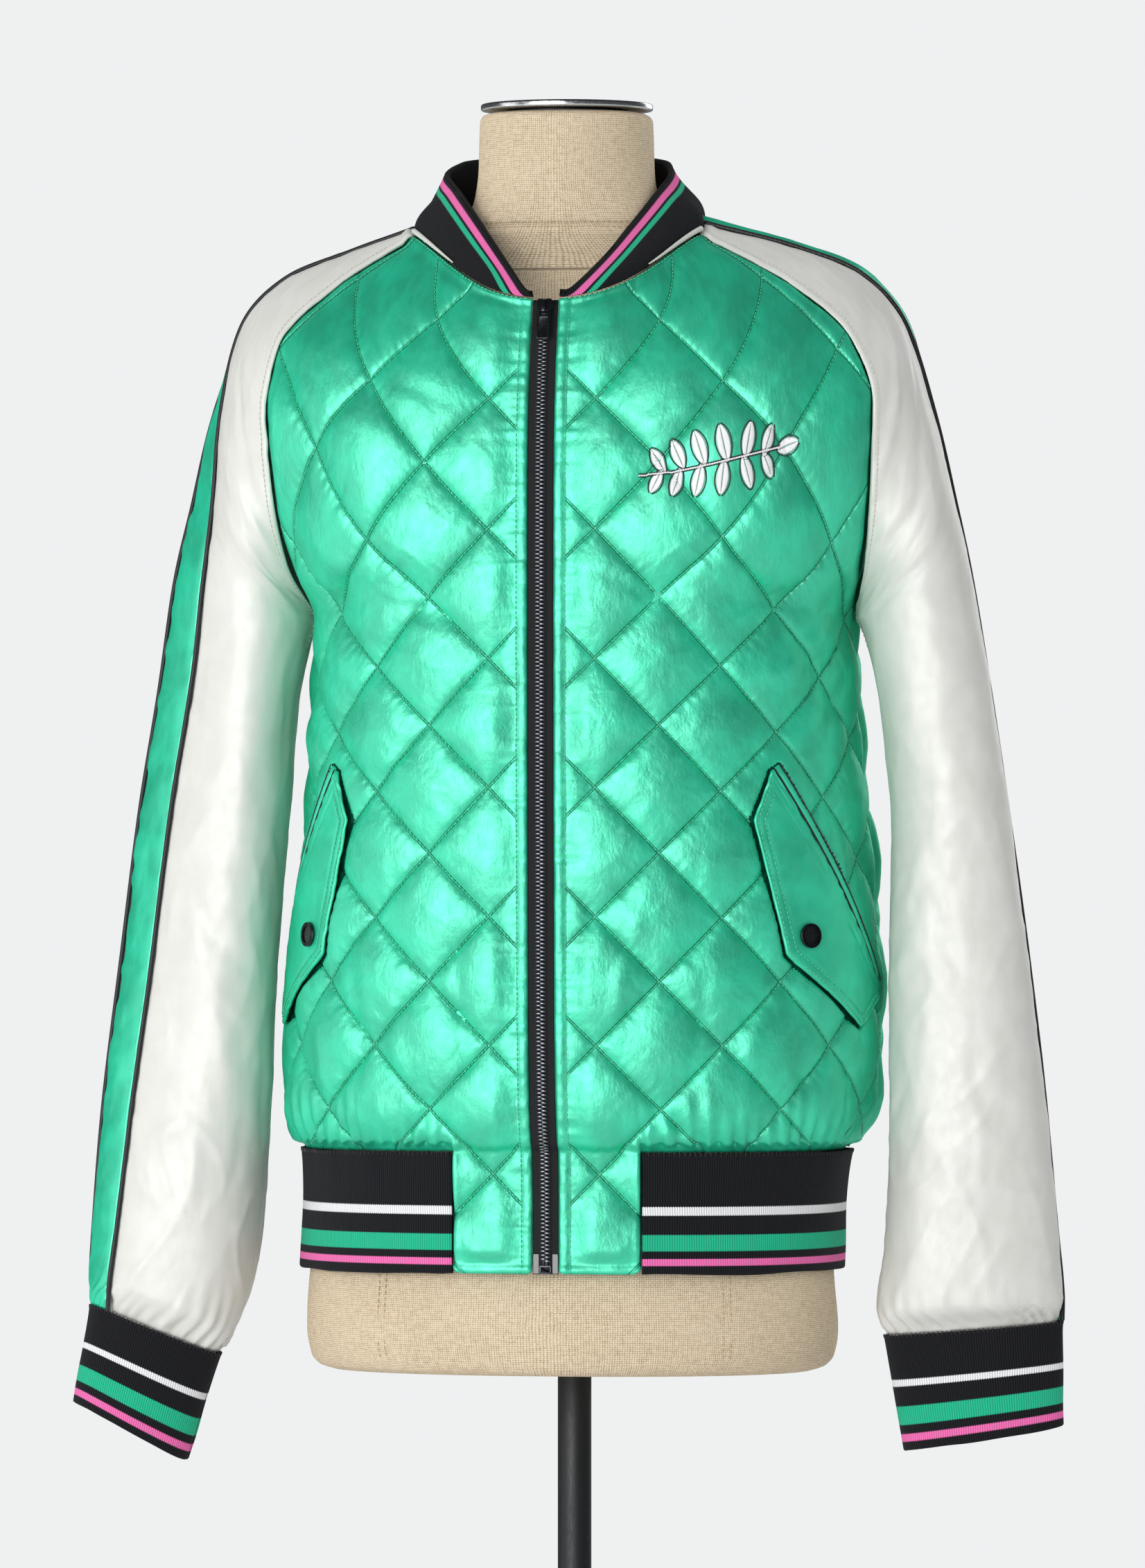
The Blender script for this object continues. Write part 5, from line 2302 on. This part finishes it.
@dataclass
class Pocket(Cloth):
    """A slanted pocket: its stand-up welt, the flap over it and the snap."""

    side: Side
    skin: Surface
    lift: float = 0.0034
    snap: tuple[float, float] = (0.1790, 1.0700)
    snap_radius: float = 0.0080
    sewn_in: tuple[float, float] = (0.0026, 0.0072)
    flap_grid: tuple[int, int] = (96, 34)
    welt_grid: tuple[int, int] = (120, 12)

    def build(self) -> None:
        """Make the pocket on the front's plain skin."""
        self.flap()
        self.welt()
        self.add_snap()

    def lay(self, places: np.ndarray) -> tuple[np.ndarray, np.ndarray]:
        """Find a line or a grid of flat places, given as (length, height), on the front."""
        flat = places.reshape(-1, 2)
        points, normals, _ = self.skin.locate(flat[:, 0], flat[:, 1])
        shape = places.shape[:-1] + (3,)
        return points.reshape(shape), normals.reshape(shape)

    def flap(self) -> None:
        """Make the flap, a soft flat piece whose edges roll down, sewn twice round."""
        count, deep = self.flap_grid
        mouth, free = along(FLAP_MOUTH, count), along(FLAP_FREE, count)
        shares = np.linspace(0.0, 1.0, deep)[None, :, None]
        flat = free[:, None] * (1.0 - shares) + mouth[:, None] * shares
        points, normals = self.lay(flat)
        u, v = flat[:, :, 0], flat[:, :, 1]
        edge = inside_flap(u, v)
        noise = Noise(41 + self.side)
        puffed = window(edge, 0.0, 0.0012)
        for inset in self.sewn_in[::-1]:
            puffed = puffed - 0.55 * np.exp(-(((edge - inset) / 0.0008) ** 2))
        height = self.lift - 0.0004 + 0.0011 * puffed
        height += 0.0010 * noise.rough(u / 0.040, v / 0.040, 3) * window(edge, 0.0, 0.02)
        height += 0.0006 * noise.at((u + v) / 0.0065, (u - v) / 0.0065) * np.exp(-edge / 0.010)
        middle = np.hypot(u - self.snap[0], v - self.snap[1])
        height += -0.0012 * np.exp(-((middle / 0.013) ** 2))
        face = Surface(points + normals * height[:, :, None], u, v, -self.side)
        word = self.side.word
        piece = cloth_object("pocket_flap_sewn_" + word, face, FLAP_TURN)
        self.place(piece, "green_band", "green_satin", "pocket_flap_" + word)
        declare_cloth(piece)
        lines = []
        for inset in self.sewn_in:
            at, out = self.lay(inset_line(along(FLAP_FREE, 260), FLAP_MIDDLE, inset))
            lines.append((at + out * (self.lift + 0.0006), out))
        self.sew("flap_thread_" + word, lines, FLAP_STITCH)

    def welt(self) -> None:
        """Make the narrow welt beside the mouth, a roll of satin with a sewn edge."""
        way = np.array(FLAP_MOUTH[1]) - np.array(FLAP_MOUTH[0])
        out = np.array([-way[1], way[0]]) / np.linalg.norm(way)
        count, deep = self.welt_grid
        line = along(FLAP_MOUTH, count)
        offsets = np.linspace(0.0017, 0.0064, deep)
        flat = line[:, None] + out[None, None] * offsets[None, :, None]
        points, normals = self.lay(flat)
        share = (offsets - offsets[0]) / (offsets[-1] - offsets[0])
        ends = np.clip(np.minimum(np.arange(count), np.arange(count)[::-1]) / 5.0, 0.2, 1.0)
        height = 0.0012 + 0.0020 * np.sin(np.pi * share[None]) ** 0.3 * ends[:, None]
        height = height + 0.0003 * tucks(line[:, 1], Noise(47), 0.005)[:, None]
        face = Surface(points + normals * height[:, :, None], flat[:, :, 0], flat[:, :, 1],
                       -self.side)
        word = self.side.word
        piece = cloth_object("pocket_welt_sewn_" + word, face, FLAP_TURN)
        self.place(piece, "green_band", "green_satin", "pocket_welt_" + word)
        declare_cloth(piece, (0.009, 0.178))
        for name, offset in (("mouth_", 0.0012), ("side_", 0.0069)):
            edge, lifted = self.lay(line + out * offset)
            cord = tube_object("pocket_seam_" + name + word, edge + lifted * 0.0027, 0.00042, 6)
            self.place(cord, "black_thread", "black_piping")

    def add_snap(self) -> None:
        """Make the snap's cap: a flat rim, a groove and a shallow dome."""
        cap = turned("snap_cap_" + self.side.word, self.snap_radius, 0.0020, (0.0, 0.0, 0.0), 64)
        apply_bevel(cap, 0.0006, 3)
        sink_face(cap, (0.0, 0.0, 1.0), 0.0011, 0.0004)
        sink_face(cap, (0.0, 0.0, 1.0), 0.0004, 0.0)
        sink_face(cap, (0.0, 0.0, 1.0), 0.0009, -0.0005)
        only(cap)
        bpy.ops.object.shade_smooth_by_angle(angle=math.radians(40))
        place = np.array([self.snap, (self.snap[0] + 0.004, self.snap[1])])
        points, normals = self.lay(place)
        normal = Vector(normals[0]).normalized()
        across = Vector(points[1] - points[0]) * self.side
        across = (across - normal * across.dot(normal)).normalized()
        up = normal.cross(across)
        at = Vector(points[0]) + normal * (self.lift - 0.0006)
        frame = Matrix((across, up, normal)).transposed().to_4x4()
        settle(cap, Matrix.Translation(at) @ frame)
        self.place(cap, "metal", "black_metal", "snap_" + self.side.word)


def inset_line(outline: np.ndarray, centre: np.ndarray, inset: float) -> np.ndarray:
    """Move an open outline in towards its middle by a distance, and trim where it folds."""
    steps = np.gradient(outline, axis=0)
    normal = np.stack([-steps[:, 1], steps[:, 0]], axis=1)
    normal /= np.linalg.norm(normal, axis=1)[:, None]
    normal *= np.sign(((centre - outline) * normal).sum(axis=1))[:, None]
    moved = outline + normal * inset
    good = inside_flap(moved[:, 0], moved[:, 1]) > inset - 0.0003
    return moved[good]


# Leaves of the sprig, in millimetres from its middle: place across, place up, angle, length
# and width. The stem runs level between them.
LEAVES = (
    (-38, 5, 118, 17, 6.5), (-40, -5, -122, 15, 6.0), (-25, 7, 112, 19, 7.0),
    (-27, -6, -114, 17, 6.5), (-11, 8, 106, 21, 7.5), (-13, -6, -108, 18, 7.0),
    (4, 8, 100, 21, 7.5), (2, -6, -102, 18, 7.0),
    (19, 7, 72, 19, 7.0), (17, -5, -74, 17, 6.5), (32, 5, 58, 16, 6.5), (31, -4, -60, 14, 6.0),
    (45, 1, 6, 15, 6.5),
)


@dataclass
class Sprig(Cloth):
    """A plain sprig of leaves in white satin stitch with a thin black edge."""

    u: float = 0.115
    v: float = 1.368
    tilt: float = 4.0
    thread: float = 0.00072

    def spot(self, cloth: Surface, x: np.ndarray, y: np.ndarray, lift: float
             ) -> tuple[np.ndarray, np.ndarray]:
        """Find places of the sprig, in millimetres, on the cloth."""
        c, s = math.cos(math.radians(self.tilt)), math.sin(math.radians(self.tilt))
        u = self.u + (x * c - y * s) * 0.001
        v = self.v + (x * s + y * c) * 0.001
        points, normals, _ = cloth.locate(u, v)
        return points + normals * lift, normals

    def build(self, cloth: Surface) -> None:
        """Sew the stem, the leaves and their edges."""
        white, black = [], []
        for x, y, angle, length, width in LEAVES:
            a = math.radians(angle)
            way, side = np.array([math.cos(a), math.sin(a)]), np.array([-math.sin(a), math.cos(a)])
            root = np.array([x, y]) - way * 0.42 * length
            t = np.arange(0.03, 0.97, 0.46 / length)
            half = 0.58 * width * np.sin(np.pi * t ** 0.85) ** 0.7
            lean = 0.35 * half
            for sign in (1, -1):
                inner = root + way[None] * (t * length)[:, None]
                outer = inner + side[None] * (sign * half)[:, None] + way[None] * lean[:, None]
                white.append((inner, outer))
            rim_t = np.linspace(0.0, 1.0, 26)
            rim = 0.58 * (width + 1.3) * np.sin(np.pi * rim_t ** 0.85) ** 0.7
            spine = root + way[None] * (rim_t * (length + 1.0) - 0.4)[:, None]
            spine = spine + way[None] * (0.35 * rim)[:, None]
            for sign in (1, -1):
                black.append(spine + side[None] * (sign * rim)[:, None])
        stem = np.stack([np.linspace(-52, 42, 60), 1.5 * np.sin(np.linspace(-2.0, 2.0, 60))], 1)
        centres, frames = [], []
        for inner, outer in white:
            a, normal = self.spot(cloth, inner[:, 0], inner[:, 1], 0.0007)
            b, _ = self.spot(cloth, outer[:, 0], outer[:, 1], 0.0004)
            ahead = b - a
            reach = np.maximum(np.linalg.norm(ahead, axis=1)[:, None], 1e-6)
            side = np.cross(normal, ahead / reach)
            centres.append(0.5 * (a + b))
            frames.append(np.stack([ahead * 1.1, side * self.thread, normal * 0.0005], axis=1))
        fill = join_copies("sprig_satin_stitch", STITCH_POINTS, STITCH_FACES,
                           np.concatenate(centres), np.concatenate(frames))
        self.place(fill, "white_thread", "green_satin")
        lines = [self.spot(cloth, rim[:, 0], rim[:, 1], 0.0004)
                 for rim in black + [stem + [0.0, 0.8], stem - [0.0, 0.8]]]
        self.sew("sprig_dark_edge", lines, SPRIG_EDGE_STITCH, "black_thread")
        self.sew("sprig_stem", [self.spot(cloth, stem[:, 0], stem[:, 1], 0.0007)], STEM_STITCH,
                 "white_thread")


@dataclass
class DressForm(Cloth):
    """The limbless linen form, with its sewn seams, neck disc and socket."""

    sides: int = 180
    socket: float = 0.0114

    def angles(self) -> np.ndarray:
        """Give the angles of a ring's points, from the back round to the back again."""
        return 2.0 * np.pi * np.arange(self.sides + 1) / self.sides + 0.5 * np.pi

    def ring(self, height: float) -> np.ndarray:
        """Give one level ring of the form."""
        row = read_row(FORM_ROWS, FORM_COLUMNS, height)
        c, s = np.cos(self.angles()), np.sin(self.angles())
        power = 2.0 / FORM_SQUARENESS
        x = np.sign(c) * np.abs(c) ** power * row["half_width"] + row["centre_x"]
        y = np.sign(s) * np.abs(s) ** power * row["half_depth"] + row["centre_y"]
        return np.stack([x, y, np.full(len(x), height)], axis=1)

    def build(self) -> None:
        """Make the form's cloth and its seams."""
        low, high = FORM_ROWS[0][0], FORM_ROWS[-1][0]
        angles = self.angles()
        hole = np.stack([self.socket * np.cos(angles), self.socket * np.sin(angles),
                         np.full(len(angles), low)], axis=1)
        rows = [hole + [0.0, 0.0, 0.020], hole + [0.0, 0.0, 0.001]]
        bottom = self.ring(low)
        rows += [hole * (1 - t) + bottom * t for t in (0.0, 0.25, 0.5, 0.75, 0.93)]
        heights = np.concatenate([np.linspace(low, 0.800, 14), np.linspace(0.804, 0.93, 28),
                                  np.linspace(0.94, 1.47, 30), np.linspace(1.473, 1.55, 48),
                                  np.linspace(1.553, 1.596, 16), np.linspace(1.598, high, 8)])
        rows += [self.ring(float(h)) for h in heights]
        middle = np.array([FORM_ROWS[-1][4], FORM_ROWS[-1][2], high])
        top = self.ring(high)
        rows += [top * (1 - t) + middle * t for t in (0.1, 0.4, 0.7, 0.9)]
        points = np.array(rows)
        points[:, -1] = points[:, 0]
        rise = run_lengths(points[:, 0])
        wide = np.where(points[:, 0, 2] > 1.50, 0.36, 0.90)
        u = np.linspace(0.0, 1.0, self.sides + 1)[None] * wide[:, None]
        skin = Surface(points, u, spread(rise[:, None], u.shape), 1, None, True)
        x, z = points[:, :, 0], points[:, :, 2]
        height = -0.0012 * np.exp(-((np.abs(z - 1.528) / 0.0016) ** 2))
        for place in (-0.112, 0.112):
            height = height - 0.0008 * np.exp(-((np.abs(x - place) / 0.0012) ** 2)) * (z < 1.47)
        noise = Noise(3)
        height += 0.0005 * noise.rough(x / 0.03, z / 0.03, 2) * (z > low + 0.004)
        face = skin.raised(height * (z > low + 0.002) * (z < high - 0.001))
        body = cloth_object("dress_form_linen", face, ())
        self.place(body, "linen", "linen", "dress_form")
        self.seams(face)
        self.neck()

    def seams(self, face: Surface) -> None:
        """Sew the neck seam and the upright seams."""
        heights = face.points[:, 0, 2]
        rows = [np.argmin(np.abs(heights - height)) for height in (1.5265, 1.5305)]
        lines = [(face.points[k] + face.normals[k] * THREAD_LIFT, face.normals[k]) for k in rows]
        band = np.flatnonzero((heights > 0.79) & (heights < 0.93))
        for place in (-0.1145, -0.1095, 0.1095, 0.1145):
            spots, normals = [], []
            for k in band:
                front = face.points[k, :, 1] < 0
                column = int(np.argmin(np.where(front, np.abs(face.points[k, :, 0] - place), 9)))
                spots.append(face.points[k, column])
                normals.append(face.normals[k, column])
            spots = np.array(spots)
            spots[:, 0] = smooth_line(spots[:, 0])
            spots[:, 1] = smooth_line(spots[:, 1])
            lines.append((spots + np.array(normals) * 0.0004, np.array(normals)))
        self.sew("form_seam_thread", lines, FORM_STITCH, "seam", "linen")

    def neck(self) -> None:
        """Make the bright disc on its dark washer."""
        x, y, z = FORM_ROWS[-1][4], FORM_ROWS[-1][2], FORM_ROWS[-1][0] + 0.0003
        washer = turned("neck_washer_turned", 0.0400, 0.0015, (x, y, z), 96)
        apply_bevel(washer, 0.0003, 2)
        self.place(washer, "lacquer", "black_lacquer", "neck_washer")
        disc = turned("neck_disc_turned", 0.0562, 0.0042, (x, y, z + 0.0018), 160)
        apply_bevel(disc, 0.0013, 4)
        sink_face(disc, (0.0, 0.0, 1.0), 0.0030, 0.0003)
        self.place(disc, "steel", "bright_steel", "neck_disc")


def smooth_line(values: np.ndarray) -> np.ndarray:
    """Even out a line of values, but for its ends."""
    padded = np.concatenate([values[:1].repeat(4), values, values[-1:].repeat(4)])
    return np.convolve(padded, np.ones(9) / 9.0, mode="valid")


@dataclass
class Stand(Cloth):
    """The pole and the round plate it stands on."""

    base_radius: float = 0.190
    base_height: float = 0.008
    pole_radius: float = 0.0110
    pole_top: float = 0.8437

    def build(self) -> None:
        """Turn the plate, and the pole that stands just clear of it."""
        base = turned("base_plate_turned", self.base_radius, self.base_height, (0, 0, 0), 192)
        apply_bevel(base, 0.0020, 4)
        self.place(base, "lacquer", "black_lacquer", "base_plate")
        low = self.base_height + 0.0003
        pole = turned("pole_turned", self.pole_radius, self.pole_top - low, (0.0, 0.0, low), 96)
        apply_bevel(pole, 0.0005, 2)
        self.place(pole, "lacquer", "black_lacquer", "pole")


@dataclass
class Lining(Cloth):
    """The plain lining that shows inside the hem and the cuffs."""

    depth: float = 0.0040

    def build(self) -> None:
        """Make the body's lining and a lining for each sleeve."""
        points = np.array([body_ring(float(key), 0.010, 26, 26)
                           for key in np.linspace(HEM_KEY, 0.99, 60)])
        heights = run_lengths(points[:, 20])[:, None]
        skin = Surface(points, spread(run_lengths(points[20]), points.shape[:2]),
                       spread(heights, points.shape[:2]), -1)
        self.inner("lining_body", skin, "green_band", "green_satin")
        for side in Side:
            points = sleeve_rings(np.linspace(0.31, CUFF_KEY + 0.004, 60), side, 61)
            heights = -run_lengths(points[:, 20])[:, None]
            skin = Surface(points, spread(run_lengths(points[30]), points.shape[:2]),
                           spread(heights, points.shape[:2]), -side, None, True)
            self.inner("lining_sleeve_" + side.word, skin, "ivory", "ivory_satin")

    def inner(self, name: str, skin: Surface, finish: str, slot: str) -> None:
        """Turn a skin into a lining that faces in."""
        inside = skin.points - skin.normals * self.depth
        face = Surface(inside, skin.u, skin.v, -skin.outward, skin.cells, skin.closed)
        piece = cloth_object(name, face, ())
        self.place(piece, finish, slot)
        declare_cloth(piece)


@dataclass(frozen=True)
class Lamp:
    """A large soft light, aimed at a height on the pole, which may light only gloss."""

    name: str
    place: tuple[float, float, float]
    aim: float
    width: float
    height: float
    power: float
    matt: bool = True

    def hang(self) -> None:
        """Add the light to the scene."""
        data = bpy.data.lights.new(self.name, "AREA")
        data.shape, data.size, data.size_y = "RECTANGLE", self.width, self.height
        data.energy = self.power
        lamp = bpy.data.objects.new(self.name, data)
        bpy.context.scene.collection.objects.link(lamp)
        lamp.location = self.place
        way = Vector((0.0, 0.0, self.aim)) - Vector(self.place)
        lamp.rotation_euler = way.to_track_quat("-Z", "Y").to_euler()
        lamp.visible_diffuse = self.matt


@dataclass
class Studio:
    """The camera, the pale floor and the soft lights."""

    distance: float = 6.5
    height: float = 1.166
    azimuth: float = 9.0
    lens: float = 228.1
    sensor: float = 36.0
    aside: float = 0.00136
    floor_size: float = 14.0
    lamps: tuple[Lamp, ...] = (
        Lamp("key_left", (-1.35, -4.2, 1.60), 1.15, 3.4, 2.4, 92.0),
        Lamp("sheen_left", (-1.30, -4.3, 1.05), 1.10, 3.4, 2.8, 98.0, False),
        Lamp("side_left", (-3.4, -0.9, 1.2), 1.15, 1.6, 2.4, 18.0),
        Lamp("back", (1.6, 3.4, 2.2), 1.2, 1.8, 2.2, 26.0),
    )

    def build(self, paper: StudioPaper) -> None:
        """Set up the view, the floor, the world and the lights."""
        self.camera()
        self.floor(paper)
        self.world()
        for lamp in self.lamps:
            lamp.hang()
        bpy.context.scene.view_settings.view_transform = "Standard"

    def camera(self) -> None:
        """Set the camera at the photograph's angle."""
        scene = bpy.context.scene
        turn = math.radians(self.azimuth)
        target = Vector((-self.aside * math.cos(turn), -self.aside * math.sin(turn), self.height))
        place = target + Vector((math.sin(turn), -math.cos(turn), 0.0)) * self.distance
        data = bpy.data.cameras.new("camera")
        data.sensor_fit, data.sensor_height, data.lens = "VERTICAL", self.sensor, self.lens
        data.clip_end = 60.0
        camera = bpy.data.objects.new("camera", data)
        scene.collection.objects.link(camera)
        camera.location = place
        camera.rotation_euler = (target - place).to_track_quat("-Z", "Y").to_euler()
        scene.camera = camera

    def floor(self, paper: StudioPaper) -> None:
        """Lay the floor."""
        bpy.ops.object.select_all(action="DESELECT")
        bpy.ops.mesh.primitive_plane_add(size=self.floor_size, location=(0.0, 0.0, 0.0))
        floor = bpy.context.object
        floor.name = "floor"
        floor.data.materials.append(paper.make())

    def world(self) -> None:
        """Light the room: matt light, what gloss sees of it, and the backdrop for the camera."""
        world = bpy.data.worlds.new("studio")
        bpy.context.scene.world = world
        world.use_nodes = True
        nodes, links = world.node_tree.nodes, world.node_tree.links
        around = nodes.new("ShaderNodeTexCoord")
        parts = nodes.new("ShaderNodeSeparateXYZ")
        links.new(around.outputs["Generated"], parts.inputs[0])
        path = nodes.new("ShaderNodeLightPath")
        last = None
        for name, colour, low, high in ((None, (0.96, 0.98, 1.0), 0.54, 0.78),
                                        ("Is Glossy Ray", (0.95, 0.97, 1.0), 0.10, 0.02),
                                        ("Is Camera Ray", (0.865, 0.875, 0.880), 1.0, 1.0)):
            light = nodes.new("ShaderNodeBackground")
            light.inputs["Color"].default_value = colour + (1.0,)
            fade = nodes.new("ShaderNodeMapRange")
            for socket, value in (("From Min", -0.2), ("From Max", 0.75), ("To Min", low),
                                  ("To Max", high)):
                fade.inputs[socket].default_value = value
            links.new(parts.outputs[2], fade.inputs["Value"])
            links.new(fade.outputs[0], light.inputs["Strength"])
            if name is None:
                last = light.outputs[0]
                continue
            both = nodes.new("ShaderNodeMixShader")
            links.new(path.outputs[name], both.inputs[0])
            links.new(last, both.inputs[1])
            links.new(light.outputs[0], both.inputs[2])
            last = both.outputs[0]
        links.new(last, nodes["World Output"].inputs[0])


def main() -> None:
    """Build the garment, its form and the studio."""
    logging.basicConfig(level=logging.INFO, format="%(message)s")
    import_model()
    wardrobe = Wardrobe()
    for side in Side:
        front = Front(wardrobe, side)
        face = front.build()
        Pocket(wardrobe, side, front.skin()).build()
        if side == LEFT:
            Sprig(wardrobe).build(face)
        Sleeve(wardrobe, side).build()
    BackPanel(wardrobe).build()
    ribs = Ribs(wardrobe)
    ribs.hem()
    ribs.cuff(LEFT)
    ribs.cuff(RIGHT)
    Collar(wardrobe).build()
    Zip(wardrobe).build()
    Lining(wardrobe).build()
    DressForm(wardrobe).build()
    Stand(wardrobe).build()
    Studio().build(StudioPaper("pale_paper", 0.80))


if __name__ == "__main__":
    main()
